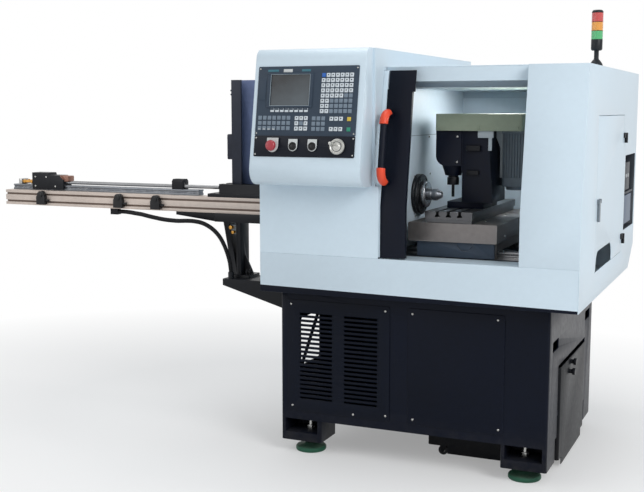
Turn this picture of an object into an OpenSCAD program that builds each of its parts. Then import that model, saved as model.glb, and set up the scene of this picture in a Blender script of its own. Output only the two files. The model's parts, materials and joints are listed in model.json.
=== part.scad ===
// Turning lathe with a sliding door, a leaning control panel, a milling head on the
// cross slide and a magazine loader that pushes blanks through the hollow spindle.
// All sizes are millimetres. X runs along the front, Y into the machine, Z up.

/* [Base] */
// Width of the base along the front
base_w = 1110; // [1080:10:1160]
// Depth of the base
base_d = 930; // [900:10:980]
// Height of the base deck above the floor
base_h = 700; // [690:5:720]
// Lower edge of the base walls above the floor
skirt_z = 147; // [140:1:160]
// Width of the louvred left bay of the base
bay_w = 540; // [520:5:560]
// Plate thickness of the base
base_t = 6; // [4:1:8]
// Width of one foot housing
foot_w = 180; // [160:5:200]
// Depth of one foot housing
foot_d = 158; // [145:1:170]
// Underside of a foot housing above the floor
foot_z = 55; // [50:1:60]
// Radius of a levelling pad
pad_r = 64; // [55:1:70]
// Radius of a levelling stud
stud_r = 10; // [8:0.5:12]
// Louvre slots in one column
louvre_n = 20; // [14:1:20]
// Height of one louvre slot
louvre_h = 8; // [5:0.5:10]

/* [Enclosure] */
// Overhang of the enclosure past the left of the base
side_left = 55; // [40:1:70]
// Overhang of the enclosure past the right of the base
side_right = 115; // [100:1:130]
// Overhang of the enclosure in front of the base
front_out = 80; // [70:1:90]
// Overhang of the enclosure behind the base
rear_out = 410; // [380:5:430]
// Height of the sill above the base deck
sill_up = 150; // [140:1:160]
// Height above the base deck of the crease where the front starts to lean back
crease_up = 350; // [330:1:370]
// How far the front leans back from the crease to the roof
lean = 87; // [75:1:95]
// Height of the roof above the base deck
roof_up = 888; // [875:1:900]
// How far the left box stands above the roof
left_up = 67; // [55:1:80]
// Width of the left box
left_w = 495; // [485:1:505]
// Width of the right box
right_w = 221; // [205:1:235]
// Sheet thickness of the enclosure
sheet = 3; // [2:0.5:4]

/* [Control panel] */
// Width of the control panel
panel_w = 420; // [400:1:430]
// Height of the display and key face
cnc_h = 268; // [255:1:270]
// Height of the lower button plate
plate_h = 81; // [76:1:90]
// Lean of the control panel in degrees
tilt = 9.4; // [7:0.1:11]
// Distance of the panel's lower edge in front of the base
panel_out = 210; // [200:1:215]
// How far the panel's lower edge lies below the top of the left box
panel_drop = 412; // [405:1:420]
// Radius of the rounded lower edge of the panel housing
round_low = 60; // [50:1:65]
// Radius of the rounded upper edge of the panel housing
round_top = 40; // [25:1:45]
// Radius of the emergency stop head
estop_r = 20.5; // [18:0.5:22]
// Radius of a push button
push_r = 11; // [9:0.5:12]
// Radius of the handwheel
wheel_r = 30; // [25:1:34]

/* [Door] */
// Width of the black door post
post_w = 101; // [85:1:110]
// Thickness of the door frame
door_t = 20; // [16:1:22]
// Travel of the door from open to closed
door_travel = 430; // [400:1:432]
// Height of the door handle
handle_h = 292; // [250:1:310]

/* [Spindle] */
// Depth of the spindle axis behind the base front
axis_y = 254; // [250:1:258]
// Height of the spindle axis above the base deck
axis_up = 379; // [374:1:384]
// Radius of the bore through the spindle
bore_r = 13; // [10:0.5:15]
// Radius of the spindle shaft in its bearings
shaft_r = 35; // [32:0.5:38]
// Outer radius of a spindle bearing
bearing_r = 50; // [46:0.5:56]
// Radius of the black cap at the spindle nose
cap_r = 82.5; // [78:0.5:88]
// Radius of the collet nose
nose_r = 24; // [20:0.5:28]
// Radius of the collet bore
collet_r = 10; // [6:0.5:12]

/* [Slides] */
// Width of the saddle
saddle_w = 356; // [340:1:370]
// Width of the slotted table
table_w = 190; // [170:1:200]
// Pitch of the table slots
slot_pitch = 45; // [38:1:48]
// Width of a table slot at the top
slot_w = 12; // [8:0.5:14]
// Radius of a lead screw
screw_r = 12; // [9:0.5:14]

/* [Milling head] */
// Radius of the milling spindle
mill_r = 20; // [16:0.5:24]
// Radius of the milling cutter
cutter_r = 6; // [3:0.5:9]
// Width of the square milling motor
mill_motor_w = 120; // [100:1:124]

/* [Coolant tank] */
// Clearance between the tank and a foot housing
tank_gap = 42; // [34:1:50]
// Top of the tank above the floor
tank_z = 420; // [380:5:428]
// Radius of a tank wheel
castor_r = 20; // [16:0.5:20]

/* [Signal tower] */
// Radius of a signal lamp
lamp_r = 21.5; // [18:0.5:24]
// Height of one signal lamp
lamp_h = 33; // [28:1:38]

/* [Loader] */
// Length of the loader beam
beam_len = 1510; // [1480:5:1540]
// Height and depth of the loader beam
beam_s = 70; // [68:1:74]
// Radius of the pusher rod
rod_r = 8; // [5:0.5:9]
// Travel of the pusher
push_travel = 550; // [480:5:560]
// Clear width of the magazine slot
mag_gap = 32; // [24:1:34]
// Height of the magazine above the spindle axis
mag_up = 471; // [420:1:480]
// Radius of the hose
hose_r = 10; // [8:0.5:11]

/* [Hidden] */
$fn = 48;
run = 0.05;
gap = 0.5;
bend = 10;
sill_z = base_h + sill_up;
crease_z = base_h + crease_up;
roof_z = base_h + roof_up;
left_top = roof_z + left_up;
panel_z = left_top - panel_drop;
axis_z = base_h + axis_up;
ex0 = -side_left;
ex1 = base_w + side_right;
ey0 = -front_out;
ey1 = base_d + rear_out;
enc_z = base_h - 10;
lx1 = ex0 + left_w;
rx0 = ex1 - right_w;
cut_y = 150;
cut_z = 100;
hinge_r = 7;
s_btn = plate_h / 2;
s_cnc = plate_h;
px0 = lx1 - panel_w - 35;
estop_x = px0 + 82;
start_x = px0 + 168;
stop_x = px0 + 249;
dial_x = px0 + 354;
housing_x0 = px0 - 17;
housing_x1 = lx1 - 10;
panel_t = 3;
house_z = panel_z - 113;
grip_r = 6;
grip_n = 46;
grip_x = -0.53 * wheel_r;
grip_s = 0.27 * wheel_r;
slope = lean / (roof_z - crease_z);
door_a = atan(slope);
beam_x1 = ex0 - 5;
beam_x0 = beam_x1 - beam_len;
beam_y0 = axis_y - 54;
beam_z1 = axis_z - 39;
beam_z0 = beam_z1 - beam_s;
x_min = beam_x0;
x_max = ex1 + 2 * hinge_r;
y_min = -panel_out + (s_btn + grip_s - grip_r) * sin(tilt) - grip_n * cos(tilt);
cx = (x_min + x_max) / 2;
cy = (y_min + ey1) / 2;
wall_x = lx1 + 60;
liner_x1 = base_w;
fit_x = (liner_x1 - wall_x) / 610;
liner_y0 = 50;
liner_y1 = base_d - 30;
seam = 0.3;
bed_y0 = 60;
bed_y1 = base_d - 170;
bed_z1 = base_h + 140;
way_w = 60;
way_y1 = 150;
way_y2 = bed_y1 - 200;
way_room = way_y2 - way_y1 - way_w;
way_z = bed_z1 + 32;
screw_y = way_y1 + way_w + 0.542857 * way_room;
trough = 0.228571 * way_room;
screw_z = base_h + 105;
chute_x0 = wall_x + 120 * fit_x;
chute_x1 = wall_x + 460 * fit_x;
chute_y0 = way_y1 + way_w + 12;
chute_y1 = screw_y - trough - 12;
saddle_x0 = wall_x + 32 * fit_x;
saddle_x1 = saddle_x0 + saddle_w;
saddle_z0 = way_z + 40;
saddle_z1 = saddle_z0 + 73;
saddle_y0 = 50;
saddle_y1 = bed_y1;
table_x0 = saddle_x0 + 68 * fit_x;
table_x1 = table_x0 + table_w;
table_z0 = saddle_z1 + 15;
table_z1 = table_z0 + 30;
table_y1 = saddle_y1 - 10;
cross_x = (table_x0 + table_x1) / 2;
cross_z = saddle_z0 + 36;
tool_x = wall_x + 152 * fit_x;
tool_z = axis_z - 6;
head_z0 = axis_z + 81;
head_z1 = axis_z + 260;
cover_z1 = head_z1 + 67;
column_x0 = tool_x + 48 * fit_x;
column_x1 = column_x0 + 110 * fit_x;
motor_x = column_x1 + 10 + mill_motor_w / 2;
motor_y = axis_y + 136;
nose_x = wall_x + 48;
tank_x0 = bay_w + 36;
tank_x1 = base_w + 6;
tank_y0 = foot_d + tank_gap;
tank_y1 = base_d - foot_d - tank_gap + 10;
tank_z0 = 2 * castor_r + 5;
castor_z = castor_r + 0.5;
castor_in = 60;
cab_y0 = 240;
cab_y1 = base_d;
cab_z0 = base_h + 95;
cab_z1 = base_h + 700;
hinge_z = [base_h + 155, base_h + 600];
latch_z = base_h + 372;
rec_y0 = ey1 - 350;
rec_y1 = ey1 - 20;
rec_z0 = base_h + 185;
rec_z1 = base_h + 520;
tower_x = ex1 - 28;
tower_y = 300;
motor_cy = axis_y + 366;
motor_cz = bed_z1 + 105;
motor_r = 90;
pul_r = 60;
pul2_r = 45;
pul_x0 = 12;
pul_x1 = 52;
belt_t = 5;
stand_x = ex0 - 319;
handle_z = crease_z + 80;
handle_r = 13;
cap_t = 4;
handle_n = 70;
elbow = 44;
door_z1 = roof_z - 16;
win_z1 = door_z1 - 92;
hang_z = roof_z - 76;
hang_y = 48;
liner_z1 = roof_z - 83;
handle_x = lx1 + 38;
mag_top = axis_z + mag_up;
mag_x0 = stand_x + 29;
mag_z0 = axis_z + 19;
panel_z0 = skirt_z + 36;
panel_z1 = base_h - 50;
slot_z0 = skirt_z + 90;
slot_step = (base_h - 93 - slot_z0) / louvre_n;

// Hand chosen route of the hose, from the beam's underside to the bracket arm, at its drawn place
hose_drawn = [
    [-945, 236, 954], [-905, 230, 954], [-868, 214, 954], [-830, 196, 953], [-790, 184, 951],
    [-750, 178, 945], [-710, 176, 939], [-672, 175, 934], [-632, 175, 931], [-592, 175, 930],
    [-553, 175, 932], [-515, 175, 932], [-474, 174, 927], [-438, 173, 914], [-406, 172, 894],
    [-378, 171, 866], [-357, 170, 832], [-341, 170, 794], [-330, 170, 755], [-325, 170, 716]
];
hose_route = [
    for (p = hose_drawn)
        [p[0] + stand_x + 374, p[1] + axis_y - 254, base_h + (p[2] - 700) * (beam_z0 - base_h) / 270]
];
hose_end = hose_route[len(hose_route) - 1];

function front_y(z) = z <= crease_z ? ey0 : ey0 + (z - crease_z) * slope;
function pan_y(s, n) = -panel_out + s * sin(tilt) - n * cos(tilt);
function pan_z(s, n) = panel_z + s * cos(tilt) + n * sin(tilt);
function unit(v) = v / norm(v);
function ring(p, t, r, k) = [
    for (i = [0:k - 1])
        let (a = 360 * i / k, side = unit(cross(t, [0, 1, 0])), up = cross(side, t))
        p + r * (cos(a) * side + sin(a) * up)
];

function arc(c, r, a0, a1, n) = [for (i = [0:n]) let (a = a0 + i * (a1 - a0) / n) c + r * [cos(a), sin(a)]];

function rrect(x0, y0, x1, y1, r, n = 4) = concat(
    arc([x1 - r, y0 + r], r, 270, 360, n), arc([x1 - r, y1 - r], r, 0, 90, n),
    arc([x0 + r, y1 - r], r, 90, 180, n), arc([x0 + r, y0 + r], r, 180, 270, n)
);

function stadium(x, z, w, h) = concat(
    arc([x + w - h / 2, z + h / 2], h / 2, -90, 90, 6), arc([x + h / 2, z + h / 2], h / 2, 90, 270, 6)
);

module place() translate([-cx, -cy, 0]) children();

module box(x0, x1, y0, y1, z0, z1) translate([x0, y0, z0]) cube([x1 - x0, y1 - y0, z1 - z0]);

module along_x(x0, x1) translate([x0, 0, 0]) rotate([90, 0, 90]) linear_extrude(x1 - x0) children();

module along_y(y0, y1) translate([0, y1, 0]) rotate([90, 0, 0]) linear_extrude(y1 - y0) children();

module rod_x(x0, x1, y, z, r) translate([x0, y, z]) rotate([0, 90, 0]) cylinder(r = r, h = x1 - x0);

module rod_y(x, y0, y1, z, r) translate([x, y0, z]) rotate([-90, 0, 0]) cylinder(r = r, h = y1 - y0);

module rod_z(x, y, z0, z1, r) translate([x, y, z0]) cylinder(r = r, h = z1 - z0);

module turned_x(y, z) translate([0, y, z]) rotate([0, 90, 0]) rotate_extrude() children();

module up_z(z0, z1) translate([0, 0, z0]) linear_extrude(z1 - z0) children();

module on_panel(x, s, n = 0) translate([x, pan_y(s, n), pan_z(s, n)]) rotate([90 - tilt, 0, 0]) children();

module on_door(x, z) translate([x, front_y(z) + 10, z]) rotate([90 - door_a, 0, 0]) children();

module feet() {
    for (x = [0, 1], y = [0, 1])
        translate([x * base_w, y * base_d, 0]) mirror([x, 0, 0]) mirror([0, y, 0]) children();
}

// Base

module base_frame() color("#161c26") place() {
    difference() {
        union() {
            difference() {
                up_z(skirt_z, base_h) polygon(rrect(0, 0, base_w, base_d, bend));
                up_z(skirt_z - 1, base_h - base_t)
                    polygon(rrect(base_t, base_t, base_w - base_t, base_d - base_t, bend - base_t + 0.5));
            }
            up_z(skirt_z, skirt_z + base_t) difference() {
                polygon(rrect(2, 2, base_w - 2, base_d - 2, bend - 2));
                polygon(rrect(28, 28, base_w - 28, base_d - 28, 4));
            }
        }
        along_y(-1, base_t + 1) polygon(rrect(60, skirt_z + 68, bay_w - 90, base_h - 80, 12));
        along_y(-1, base_t + 1) polygon(rrect(bay_w + 50, skirt_z + 68, base_w - 205, base_h - 80, 12));
        along_x(-1, base_t + 1) polygon(rrect(185, skirt_z + 180, 390, base_h - 165, 12));
        box(base_w - 29, base_w + 1, tank_y0 - 20, tank_y1 + 20, skirt_z - 1, tank_z + 13);
        box(chute_x0, chute_x1, chute_y0, chute_y1, base_h - base_t - 1, base_h + 1);
        for (x = [-1, base_w - base_t - 1], y = [60, base_d - 180])
            along_x(x, x + base_t + 2) polygon(rrect(y, base_h - 193, y + 110, base_h - 152, 8));
    }
    along_x(1, base_t) polygon([
        [175, skirt_z + 172], [205, skirt_z + 172], [400, base_h - 157], [370, base_h - 157]
    ]);
    up_z(skirt_z, skirt_z + base_t) polygon(rrect(2, 2, bay_w + base_t, base_d - 2, bend - 2));
    box(bay_w, bay_w + base_t, base_t - 1, base_d - base_t + 1, skirt_z, base_h - base_t + 1);
    for (y = [tank_y0 - 30, tank_y1 + gap]) box(bay_w, base_w - 1, y, y + 30 - gap, 230, 250);
    feet() difference() {
        up_z(foot_z, skirt_z + 13) polygon(rrect(0, 0, foot_w, foot_d, bend));
        box(18, foot_w - 17, -1, foot_d - 20, foot_z + 35, skirt_z);
        rod_z(foot_w / 2 + 10, foot_d / 2, foot_z - 1, foot_z + 36, stud_r + 0.4);
    }
}

module louvre_panel() color("#161c26") place() along_y(-3, 0) difference() {
    polygon(rrect(30, panel_z0, bay_w - 63, panel_z1, 8));
    for (x = [86, bay_w - 258], i = [0:louvre_n - 1])
        polygon(stadium(x, slot_z0 + i * slot_step, 144, louvre_h));
}

module front_panel() color("#161c26") place() along_y(-3, 0)
    polygon(rrect(bay_w + 15, panel_z0, base_w - 170, panel_z1, 8));

module levelling_feet() color("#3f8f5c") place() feet() translate([foot_w / 2 + 10, foot_d / 2, 0]) {
    rotate_extrude() polygon([
        [0, 0], [pad_r - 3, 0], [pad_r, 4], [pad_r, 14], [pad_r - 4, 19], [3.4 * stud_r, 24],
        [2.2 * stud_r, 32], [stud_r, 32], [stud_r, foot_z + 72], [0, foot_z + 72]
    ]);
    translate([0, 0, foot_z - 16]) cylinder(r = 1.7 * stud_r, h = 16, $fn = 6);
    translate([0, 0, foot_z + 35]) cylinder(r = 1.7 * stud_r, h = 16, $fn = 6);
}

// Bed and slides

module way_shape(y) polygon([
    [y, bed_z1 - 1], [y + way_w, bed_z1 - 1], [y + way_w, bed_z1 + 10], [y + way_w - 5, bed_z1 + 14],
    [y + way_w - 5, bed_z1 + 20], [y + way_w, bed_z1 + 24], [y + way_w, way_z], [y, way_z],
    [y, bed_z1 + 24], [y + 5, bed_z1 + 20], [y + 5, bed_z1 + 14], [y, bed_z1 + 10]
]);

module bed() color("#5b6873") place() {
    difference() {
        union() {
            along_x(20, liner_x1 - 10) polygon([
                [bed_y0, base_h], [bed_y1, base_h], [bed_y1, bed_z1 - 30], [bed_y1 - 30, bed_z1],
                [bed_y0 + 18, bed_z1], [bed_y0, bed_z1 - 18]
            ]);
            for (y = [way_y1, way_y2]) along_x(wall_x - 20, liner_x1 - 20) way_shape(y);
        }
        box(wall_x - 15, liner_x1 - 120, screw_y - trough, screw_y + trough, base_h + 40, bed_z1 + 1);
        rod_x(liner_x1 - 121, liner_x1 - 9, screw_y, screw_z, screw_r + 3);
        rod_x(wall_x - 45, wall_x - 14, screw_y, screw_z, screw_r + run);
        box(chute_x0, chute_x1, chute_y0, chute_y1, base_h - 1, bed_z1 + 1);
    }
    difference() {
        along_x(liner_x1 - 10, liner_x1 + 70)
            polygon(rrect(screw_y - 45, screw_z - 45, screw_y + 45, screw_z + 45, 9));
        rod_x(liner_x1 - 11, liner_x1 + 15, screw_y, screw_z, screw_r + 3);
    }
}

module z_screw() color("#b9bec4") place() {
    rod_x(wall_x - 45, liner_x1 + 10, screw_y, screw_z, screw_r);
}

module saddle() color("#7d8892") place() difference() {
    union() {
        along_y(saddle_y0, saddle_y1) polygon(rrect(saddle_x0, saddle_z0, saddle_x1, saddle_z1, 5));
        box(saddle_x0 + 20, saddle_x1 - 20, way_y1 - 20, way_y2 + way_w + 20, way_z, saddle_z0 + 1);
        box(cross_x - 60, cross_x + 60, screw_y - trough / 2, screw_y + trough / 2, screw_z - 30, way_z + 1);
        for (y = [way_y1 - 20, way_y2 + way_w + gap])
            box(saddle_x0 + 20, saddle_x1 - 20, y, y + 20 - gap, bed_z1 + 6, way_z + 1);
        box(saddle_x0 + 34, saddle_x1 - 12, saddle_y0 + 12, saddle_y0 + 24, bed_z1 + 12, saddle_z0 + 5);
        along_y(saddle_y1 - 1, saddle_y1 + 95)
            polygon(rrect(cross_x - 42, saddle_z0 - 4, cross_x + 42, saddle_z1 - 2, 8));
    }
    box(cross_x - 30, cross_x + 30, saddle_y0 + 40, saddle_y1 - 30, saddle_z0 + 10, saddle_z1 + 1);
    along_y(saddle_y0 + 11, saddle_y0 + 14) difference() {
        polygon(arc([cross_x + 64, saddle_z0], 34, 0, -180, 16));
        polygon(arc([cross_x + 64, saddle_z0 + 1], 32, 0, -180, 16));
    }
    rod_x(cross_x - 61, cross_x + 61, screw_y, screw_z, screw_r + run);
    rod_y(cross_x, saddle_y0 + 15, saddle_y0 + 41, cross_z, screw_r + run);
    rod_y(cross_x, saddle_y1 - 31, saddle_y1 + 25, cross_z, screw_r + run);
}

module x_screw() color("#b9bec4") place() rod_y(cross_x, saddle_y0 + 17, saddle_y1 + 24, cross_z, screw_r);

function t_slot(x) = [
    [x + slot_w / 2, table_z1], [x + slot_w / 2, table_z1 - 14], [x + 0.85 * slot_w, table_z1 - 14],
    [x + 0.85 * slot_w, table_z1 - 22], [x - 0.85 * slot_w, table_z1 - 22], [x - 0.85 * slot_w, table_z1 - 14],
    [x - slot_w / 2, table_z1 - 14], [x - slot_w / 2, table_z1]
];

module cross_slide() color("#8b949b") place() difference() {
    union() {
        box(table_x0 + 4, table_x1 - 4, saddle_y0 + 6, table_y1 - 6, saddle_z1, table_z0 + 1);
        along_y(saddle_y0, table_y1) polygon(concat(
            [[table_x0, table_z0], [table_x1, table_z0], [table_x1, table_z1 - 2], [table_x1 - 2, table_z1]],
            t_slot(cross_x + slot_pitch), t_slot(cross_x), t_slot(cross_x - slot_pitch),
            [[table_x0 + 2, table_z1], [table_x0, table_z1 - 2]]
        ));
        box(cross_x - 22, cross_x + 22, screw_y - 50, screw_y + 20, cross_z - 22, saddle_z1 + 1);
    }
    rod_y(cross_x, screw_y - 51, screw_y + 21, cross_z, screw_r + run);
}

// Milling head

module mill_column() color("#1b1f26") place() {
    along_y(axis_y - 39, axis_y + 166) polygon([
        [column_x0, table_z1 + 25], [column_x1 + 14, table_z1 + 25], [column_x1 + 14, table_z1 + 56],
        [column_x1 - 8, head_z1], [column_x0, head_z1]
    ]);
    up_z(table_z1, table_z1 + 26) polygon(rrect(table_x0 + 35, axis_y - 30, table_x1 - 2, axis_y + 190, 10));
}

module mill_head() color("#22262c") place() difference() {
    union() {
        along_y(axis_y - 46, axis_y + 60) polygon(concat(
            [[column_x0 - 4, head_z0 + 40], [column_x0 - 4, head_z1], [tool_x - 60, head_z1]],
            arc([tool_x - 22, head_z0 + 78], 38, 180, 270, 10)
        ));
        translate([tool_x, axis_y, head_z0]) cylinder(r1 = mill_r + 12, r2 = 45, h = 41);
        box(column_x0 - 5, column_x0, axis_y - 39, axis_y + 100, head_z0 + 20, head_z1);
    }
    rod_z(tool_x, axis_y, head_z0 - 1, head_z1 + 1, mill_r + run);
}

module belt_cover() color("#7b8672") place() difference() {
    up_z(head_z1, cover_z1)
        polygon(rrect(tool_x - 60, axis_y - 60, motor_x + mill_motor_w / 2 + 4, axis_y + 200, 10));
    rod_z(tool_x, axis_y, head_z1 - 1, cover_z1 - 8, mill_r + 24);
}

module mill_motor() color("#8d959b") place() {
    m = mill_motor_w / 2;
    up_z(head_z1 - 12, head_z1) polygon(rrect(motor_x - m, motor_y - m, motor_x + m, motor_y + m, 8));
    up_z(head_z1 - 226, head_z1 - 11)
        polygon(rrect(motor_x - m + 8, motor_y - m + 8, motor_x + m - 8, motor_y + m - 8, 14));
    translate([motor_x, motor_y, 0]) for (i = [-4:4]) {
        box(i * 11 - 1.5, i * 11 + 1.5, -m, m, head_z1 - 190, head_z1 - 11);
        box(-m, m, i * 11 - 1.5, i * 11 + 1.5, head_z1 - 190, head_z1 - 11);
    }
    rod_z(motor_x, motor_y, head_z1 - 240, head_z1 - 225, m - 16);
    along_y(motor_y - m + 4, motor_y - m + 10) polygon([
        [column_x1 - 4, head_z1], [column_x1 - 4, head_z1 - 30],
        [motor_x - m + 12, head_z1 - 90], [motor_x - m + 12, head_z1]
    ]);
}

module mill_spindle() color("#aab0b6") place() {
    rod_z(tool_x, axis_y, head_z0 - 8, cover_z1 - 20, mill_r);
    rod_z(tool_x, axis_y, head_z0 - 38, head_z0 - 8, mill_r + 4);
    rod_z(tool_x, axis_y, tool_z, head_z0 - 38, cutter_r);
    rod_z(tool_x, axis_y, head_z1 + 10, head_z1 + 40, mill_r + 18);
}

// Headstock and spindle drive

module headstock() color("#5b6873") place() difference() {
    union() {
        along_x(70, wall_x - 60) polygon(concat(
            [[axis_y - 135, bed_z1], [axis_y + 135, bed_z1]], arc([axis_y, axis_z], 135, 0, 180, 28)
        ));
        rod_x(wall_x - 61, wall_x, axis_y, axis_z, cap_r - 8);
    }
    rod_x(69, wall_x + 1, axis_y, axis_z, bearing_r);
}

module spindle_bearings() color("#c3c8cc") place() {
    for (x = [75, wall_x - 90, wall_x - 45]) difference() {
        rod_x(x, x + 28, axis_y, axis_z, bearing_r - run);
        rod_x(x - 1, x + 29, axis_y, axis_z, shaft_r + run);
    }
}

module bearing_cap() color("#17191d") place() difference() {
    turned_x(axis_y, axis_z) polygon([
        [0, wall_x], [cap_r, wall_x], [cap_r, wall_x + 9], [cap_r - 3, wall_x + 11], [cap_r - 3, wall_x + 14],
        [cap_r, wall_x + 16], [cap_r, wall_x + 22], [cap_r - 4, wall_x + 26], [0, wall_x + 26]
    ]);
    rod_x(wall_x - 1, wall_x + 27, axis_y, axis_z, shaft_r + 1);
    for (a = [0:60:300])
        rod_x(wall_x + 19, wall_x + 27, axis_y + 0.81 * cap_r * cos(a), axis_z + 0.81 * cap_r * sin(a), 6);
}

function grooves(r, x0, n) = [for (i = [0:n - 1]) each [[r, x0 + 5 * i], [r - 2.5, x0 + 5 * i + 2.5]]];

module spindle() color("#9aa1a8") place() difference() {
    turned_x(axis_y, axis_z) polygon(concat(
        [[0, pul_x0 - 4], [shaft_r, pul_x0 - 4], [shaft_r, pul_x0], [pul_r, pul_x0]],
        grooves(pul_r, pul_x0 + 5, 6),
        [[pul_r, pul_x1 - 5], [pul_r, pul_x1], [shaft_r, pul_x1], [shaft_r, wall_x + 28]],
        [[shaft_r + 18, wall_x + 28], [shaft_r + 18, nose_x - 3], [shaft_r + 15, nose_x], [0, nose_x]]
    ));
    rod_x(pul_x0 - 5, nose_x + 1, axis_y, axis_z, bore_r);
}

module collet_nose() color("#b4babf") place() difference() {
    turned_x(axis_y, axis_z) polygon([
        [0, nose_x], [nose_r, nose_x], [nose_r, nose_x + 15], [nose_r - 2, nose_x + 17],
        [nose_r - 2, nose_x + 20], [nose_r, nose_x + 22], [nose_r, nose_x + 39],
        [nose_r - 3, nose_x + 42], [collet_r + 3, nose_x + 59],
        [0, nose_x + 59]
    ]);
    rod_x(nose_x - 1, nose_x + 60, axis_y, axis_z, collet_r);
}

module main_motor() color("#4b5157") place() difference() {
    union() {
        turned_x(motor_cy, motor_cz) polygon(concat(
            [[0, 90], [motor_r - 16, 90], [motor_r, 106]],
            [for (x = [120:14:330])
                each [[motor_r, x], [motor_r, x + 7], [motor_r - 7, x + 7], [motor_r - 7, x + 14]]],
            [[motor_r, 344], [motor_r, 354], [motor_r - 16, 370], [0, 370]]
        ));
        box(110, 350, motor_cy - motor_r, motor_cy + motor_r, bed_z1, bed_z1 + 20);
        box(130, 330, motor_cy - 60, motor_cy + 60, bed_z1 + 19, motor_cz);
    }
    rod_x(89, 140, motor_cy, motor_cz, 16 + run);
}

module motor_pulley() color("#9aa1a8") place() turned_x(motor_cy, motor_cz) polygon(concat(
    [[0, pul_x0], [pul2_r, pul_x0]],
    grooves(pul2_r, pul_x0 + 5, 6),
    [[pul2_r, pul_x1 - 5], [pul2_r, pul_x1], [16, pul_x1], [16, 138], [0, 138]]
));

module belt_shape(grow) {
    c1 = [axis_y, axis_z];
    c2 = [motor_cy, motor_cz];
    a = acos((pul_r - pul2_r) / norm(c2 - c1));
    b = atan2(c2[1] - c1[1], c2[0] - c1[0]);
    polygon(concat(arc(c1, pul_r + grow, b + a, b + 360 - a, 40), arc(c2, pul2_r + grow, b - a, b + a, 32)));
}

module drive_belt() color("#202226") place() along_x(pul_x0 + 5, pul_x1 - 5) difference() {
    belt_shape(0.5 + belt_t);
    belt_shape(0.5);
}

// Enclosure

module chamber_liner() color("#c9d3d8") place() {
    along_x(wall_x - sheet, wall_x) difference() {
        polygon(rrect(liner_y0, base_h, liner_y1 - seam, liner_z1, 4));
        translate([bed_y0 - 1, base_h - 1]) square([bed_y1 - bed_y0 + 2, way_z + 4 - base_h]);
        translate([axis_y, axis_z]) circle(cap_r - 7);
    }
    along_y(liner_y1, liner_y1 + sheet) polygon(rrect(wall_x - sheet, base_h, liner_x1 + sheet, liner_z1, 4));
    along_x(liner_x1, liner_x1 + sheet) difference() {
        polygon(rrect(liner_y0, base_h, liner_y1 - seam, liner_z1, 4));
        translate([screw_y - 60, base_h - 1]) square([120, screw_z + 61 - base_h]);
    }
}

module side_shape(z0) polygon([
    [ey0, z0], [ey1 - cut_y, z0], [ey1, z0 + cut_z], [ey1, roof_z],
    [ey1 - 100, roof_z], [ey1 - 100, left_top], [ey0, left_top]
]);

module left_cover() color("#cfdfe8") place() difference() {
    union() {
        along_x(ex0, ex0 + sheet) side_shape(enc_z);
        box(ex0, lx1 + 15, ey0, ey0 + sheet, sill_z, house_z);
        box(ex0, lx1, ey0, ey0 + sheet, sill_z, left_top);
        box(ex0, lx1, ey0, ey1 - 100, left_top - sheet, left_top);
        along_x(lx1 - sheet, lx1) polygon([
            [ey0, house_z], [ey0, roof_z - 20],
            [front_y(roof_z - 20) + 8, roof_z - 20], [front_y(house_z) + 8, house_z]
        ]);
        along_x(lx1 - sheet, lx1) polygon([
            [ey0, roof_z - 20], [ey0, left_top], [ey1 - 100, left_top], [ey1 - 100, roof_z - sheet],
            [front_y(roof_z) + 8, roof_z - sheet], [front_y(roof_z) + 8, roof_z - 20]
        ]);
        box(ex0, lx1, ey1 - 100 - sheet, ey1 - 100, roof_z - sheet, left_top);
        box(ex0, lx1, ey1 - 101, ey1 - sheet, roof_z - sheet, roof_z);
        box(ex0, 0, ey0 + sheet, base_d, enc_z, enc_z + sheet);
    }
    rod_x(ex0 - 1, ex0 + sheet + 1, axis_y, axis_z, 30);
}

module front_apron() color("#cfdfe8") place() {
    box(ex0 + sheet, ex1 - sheet, ey0, ey0 + sheet, enc_z, sill_z);
    box(0, base_w, ey0, 0, enc_z, enc_z + sheet);
    box(lx1 + 15, rx0, ey0, liner_y0, sill_z - sheet, sill_z);
}

module right_cover() color("#cfdfe8") place() {
    difference() {
        union() {
            along_x(rx0, ex1) polygon([
                [ey0, sill_z], [ey0, crease_z], [ey0 + lean, roof_z], [ey0 + lean + sheet, roof_z],
                [ey0 + sheet, crease_z], [ey0 + sheet, sill_z]
            ]);
            along_x(ex1 - sheet, ex1) polygon([
                [ey0, enc_z], [ey0, crease_z], [ey0 + lean, roof_z], [ey1, roof_z],
                [ey1, enc_z + cut_z], [ey1 - cut_y, enc_z]
            ]);
            along_x(rx0, rx0 + sheet) polygon([
                [ey0, sill_z], [ey0, crease_z], [ey0 + lean, roof_z], [liner_y0, roof_z], [liner_y0, sill_z]
            ]);
            box(rx0, ex1, ey0 + lean, ey1 - sheet, roof_z - sheet, roof_z);
            box(base_w, ex1, ey0 + sheet, base_d, enc_z, enc_z + sheet);
        }
        box(ex1 - sheet - 1, ex1 + 1, cab_y0, cab_y1, cab_z0, cab_z1);
        box(ex1 - sheet - 1, ex1 + 1, rec_y0, rec_y1, rec_z0, rec_z1);
    }
    for (z = hinge_z) {
        rod_z(ex1 + hinge_r, cab_y1 + 14, z - 22, z, hinge_r);
        box(ex1, ex1 + hinge_r, cab_y1 + 14, cab_y1 + 32, z - 22, z);
    }
}

module rear_cover() color("#cfdfe8") place() {
    along_x(ex0 + sheet, ex1 - sheet) polygon([
        [base_d, enc_z], [ey1 - cut_y, enc_z], [ey1, enc_z + cut_z], [ey1, roof_z], [ey1 - sheet, roof_z],
        [ey1 - sheet, enc_z + cut_z + 2], [ey1 - cut_y - 2, enc_z + sheet], [base_d, enc_z + sheet]
    ]);
    box(lx1, rx0, 45, ey1, roof_z - sheet, roof_z);
}

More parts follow.
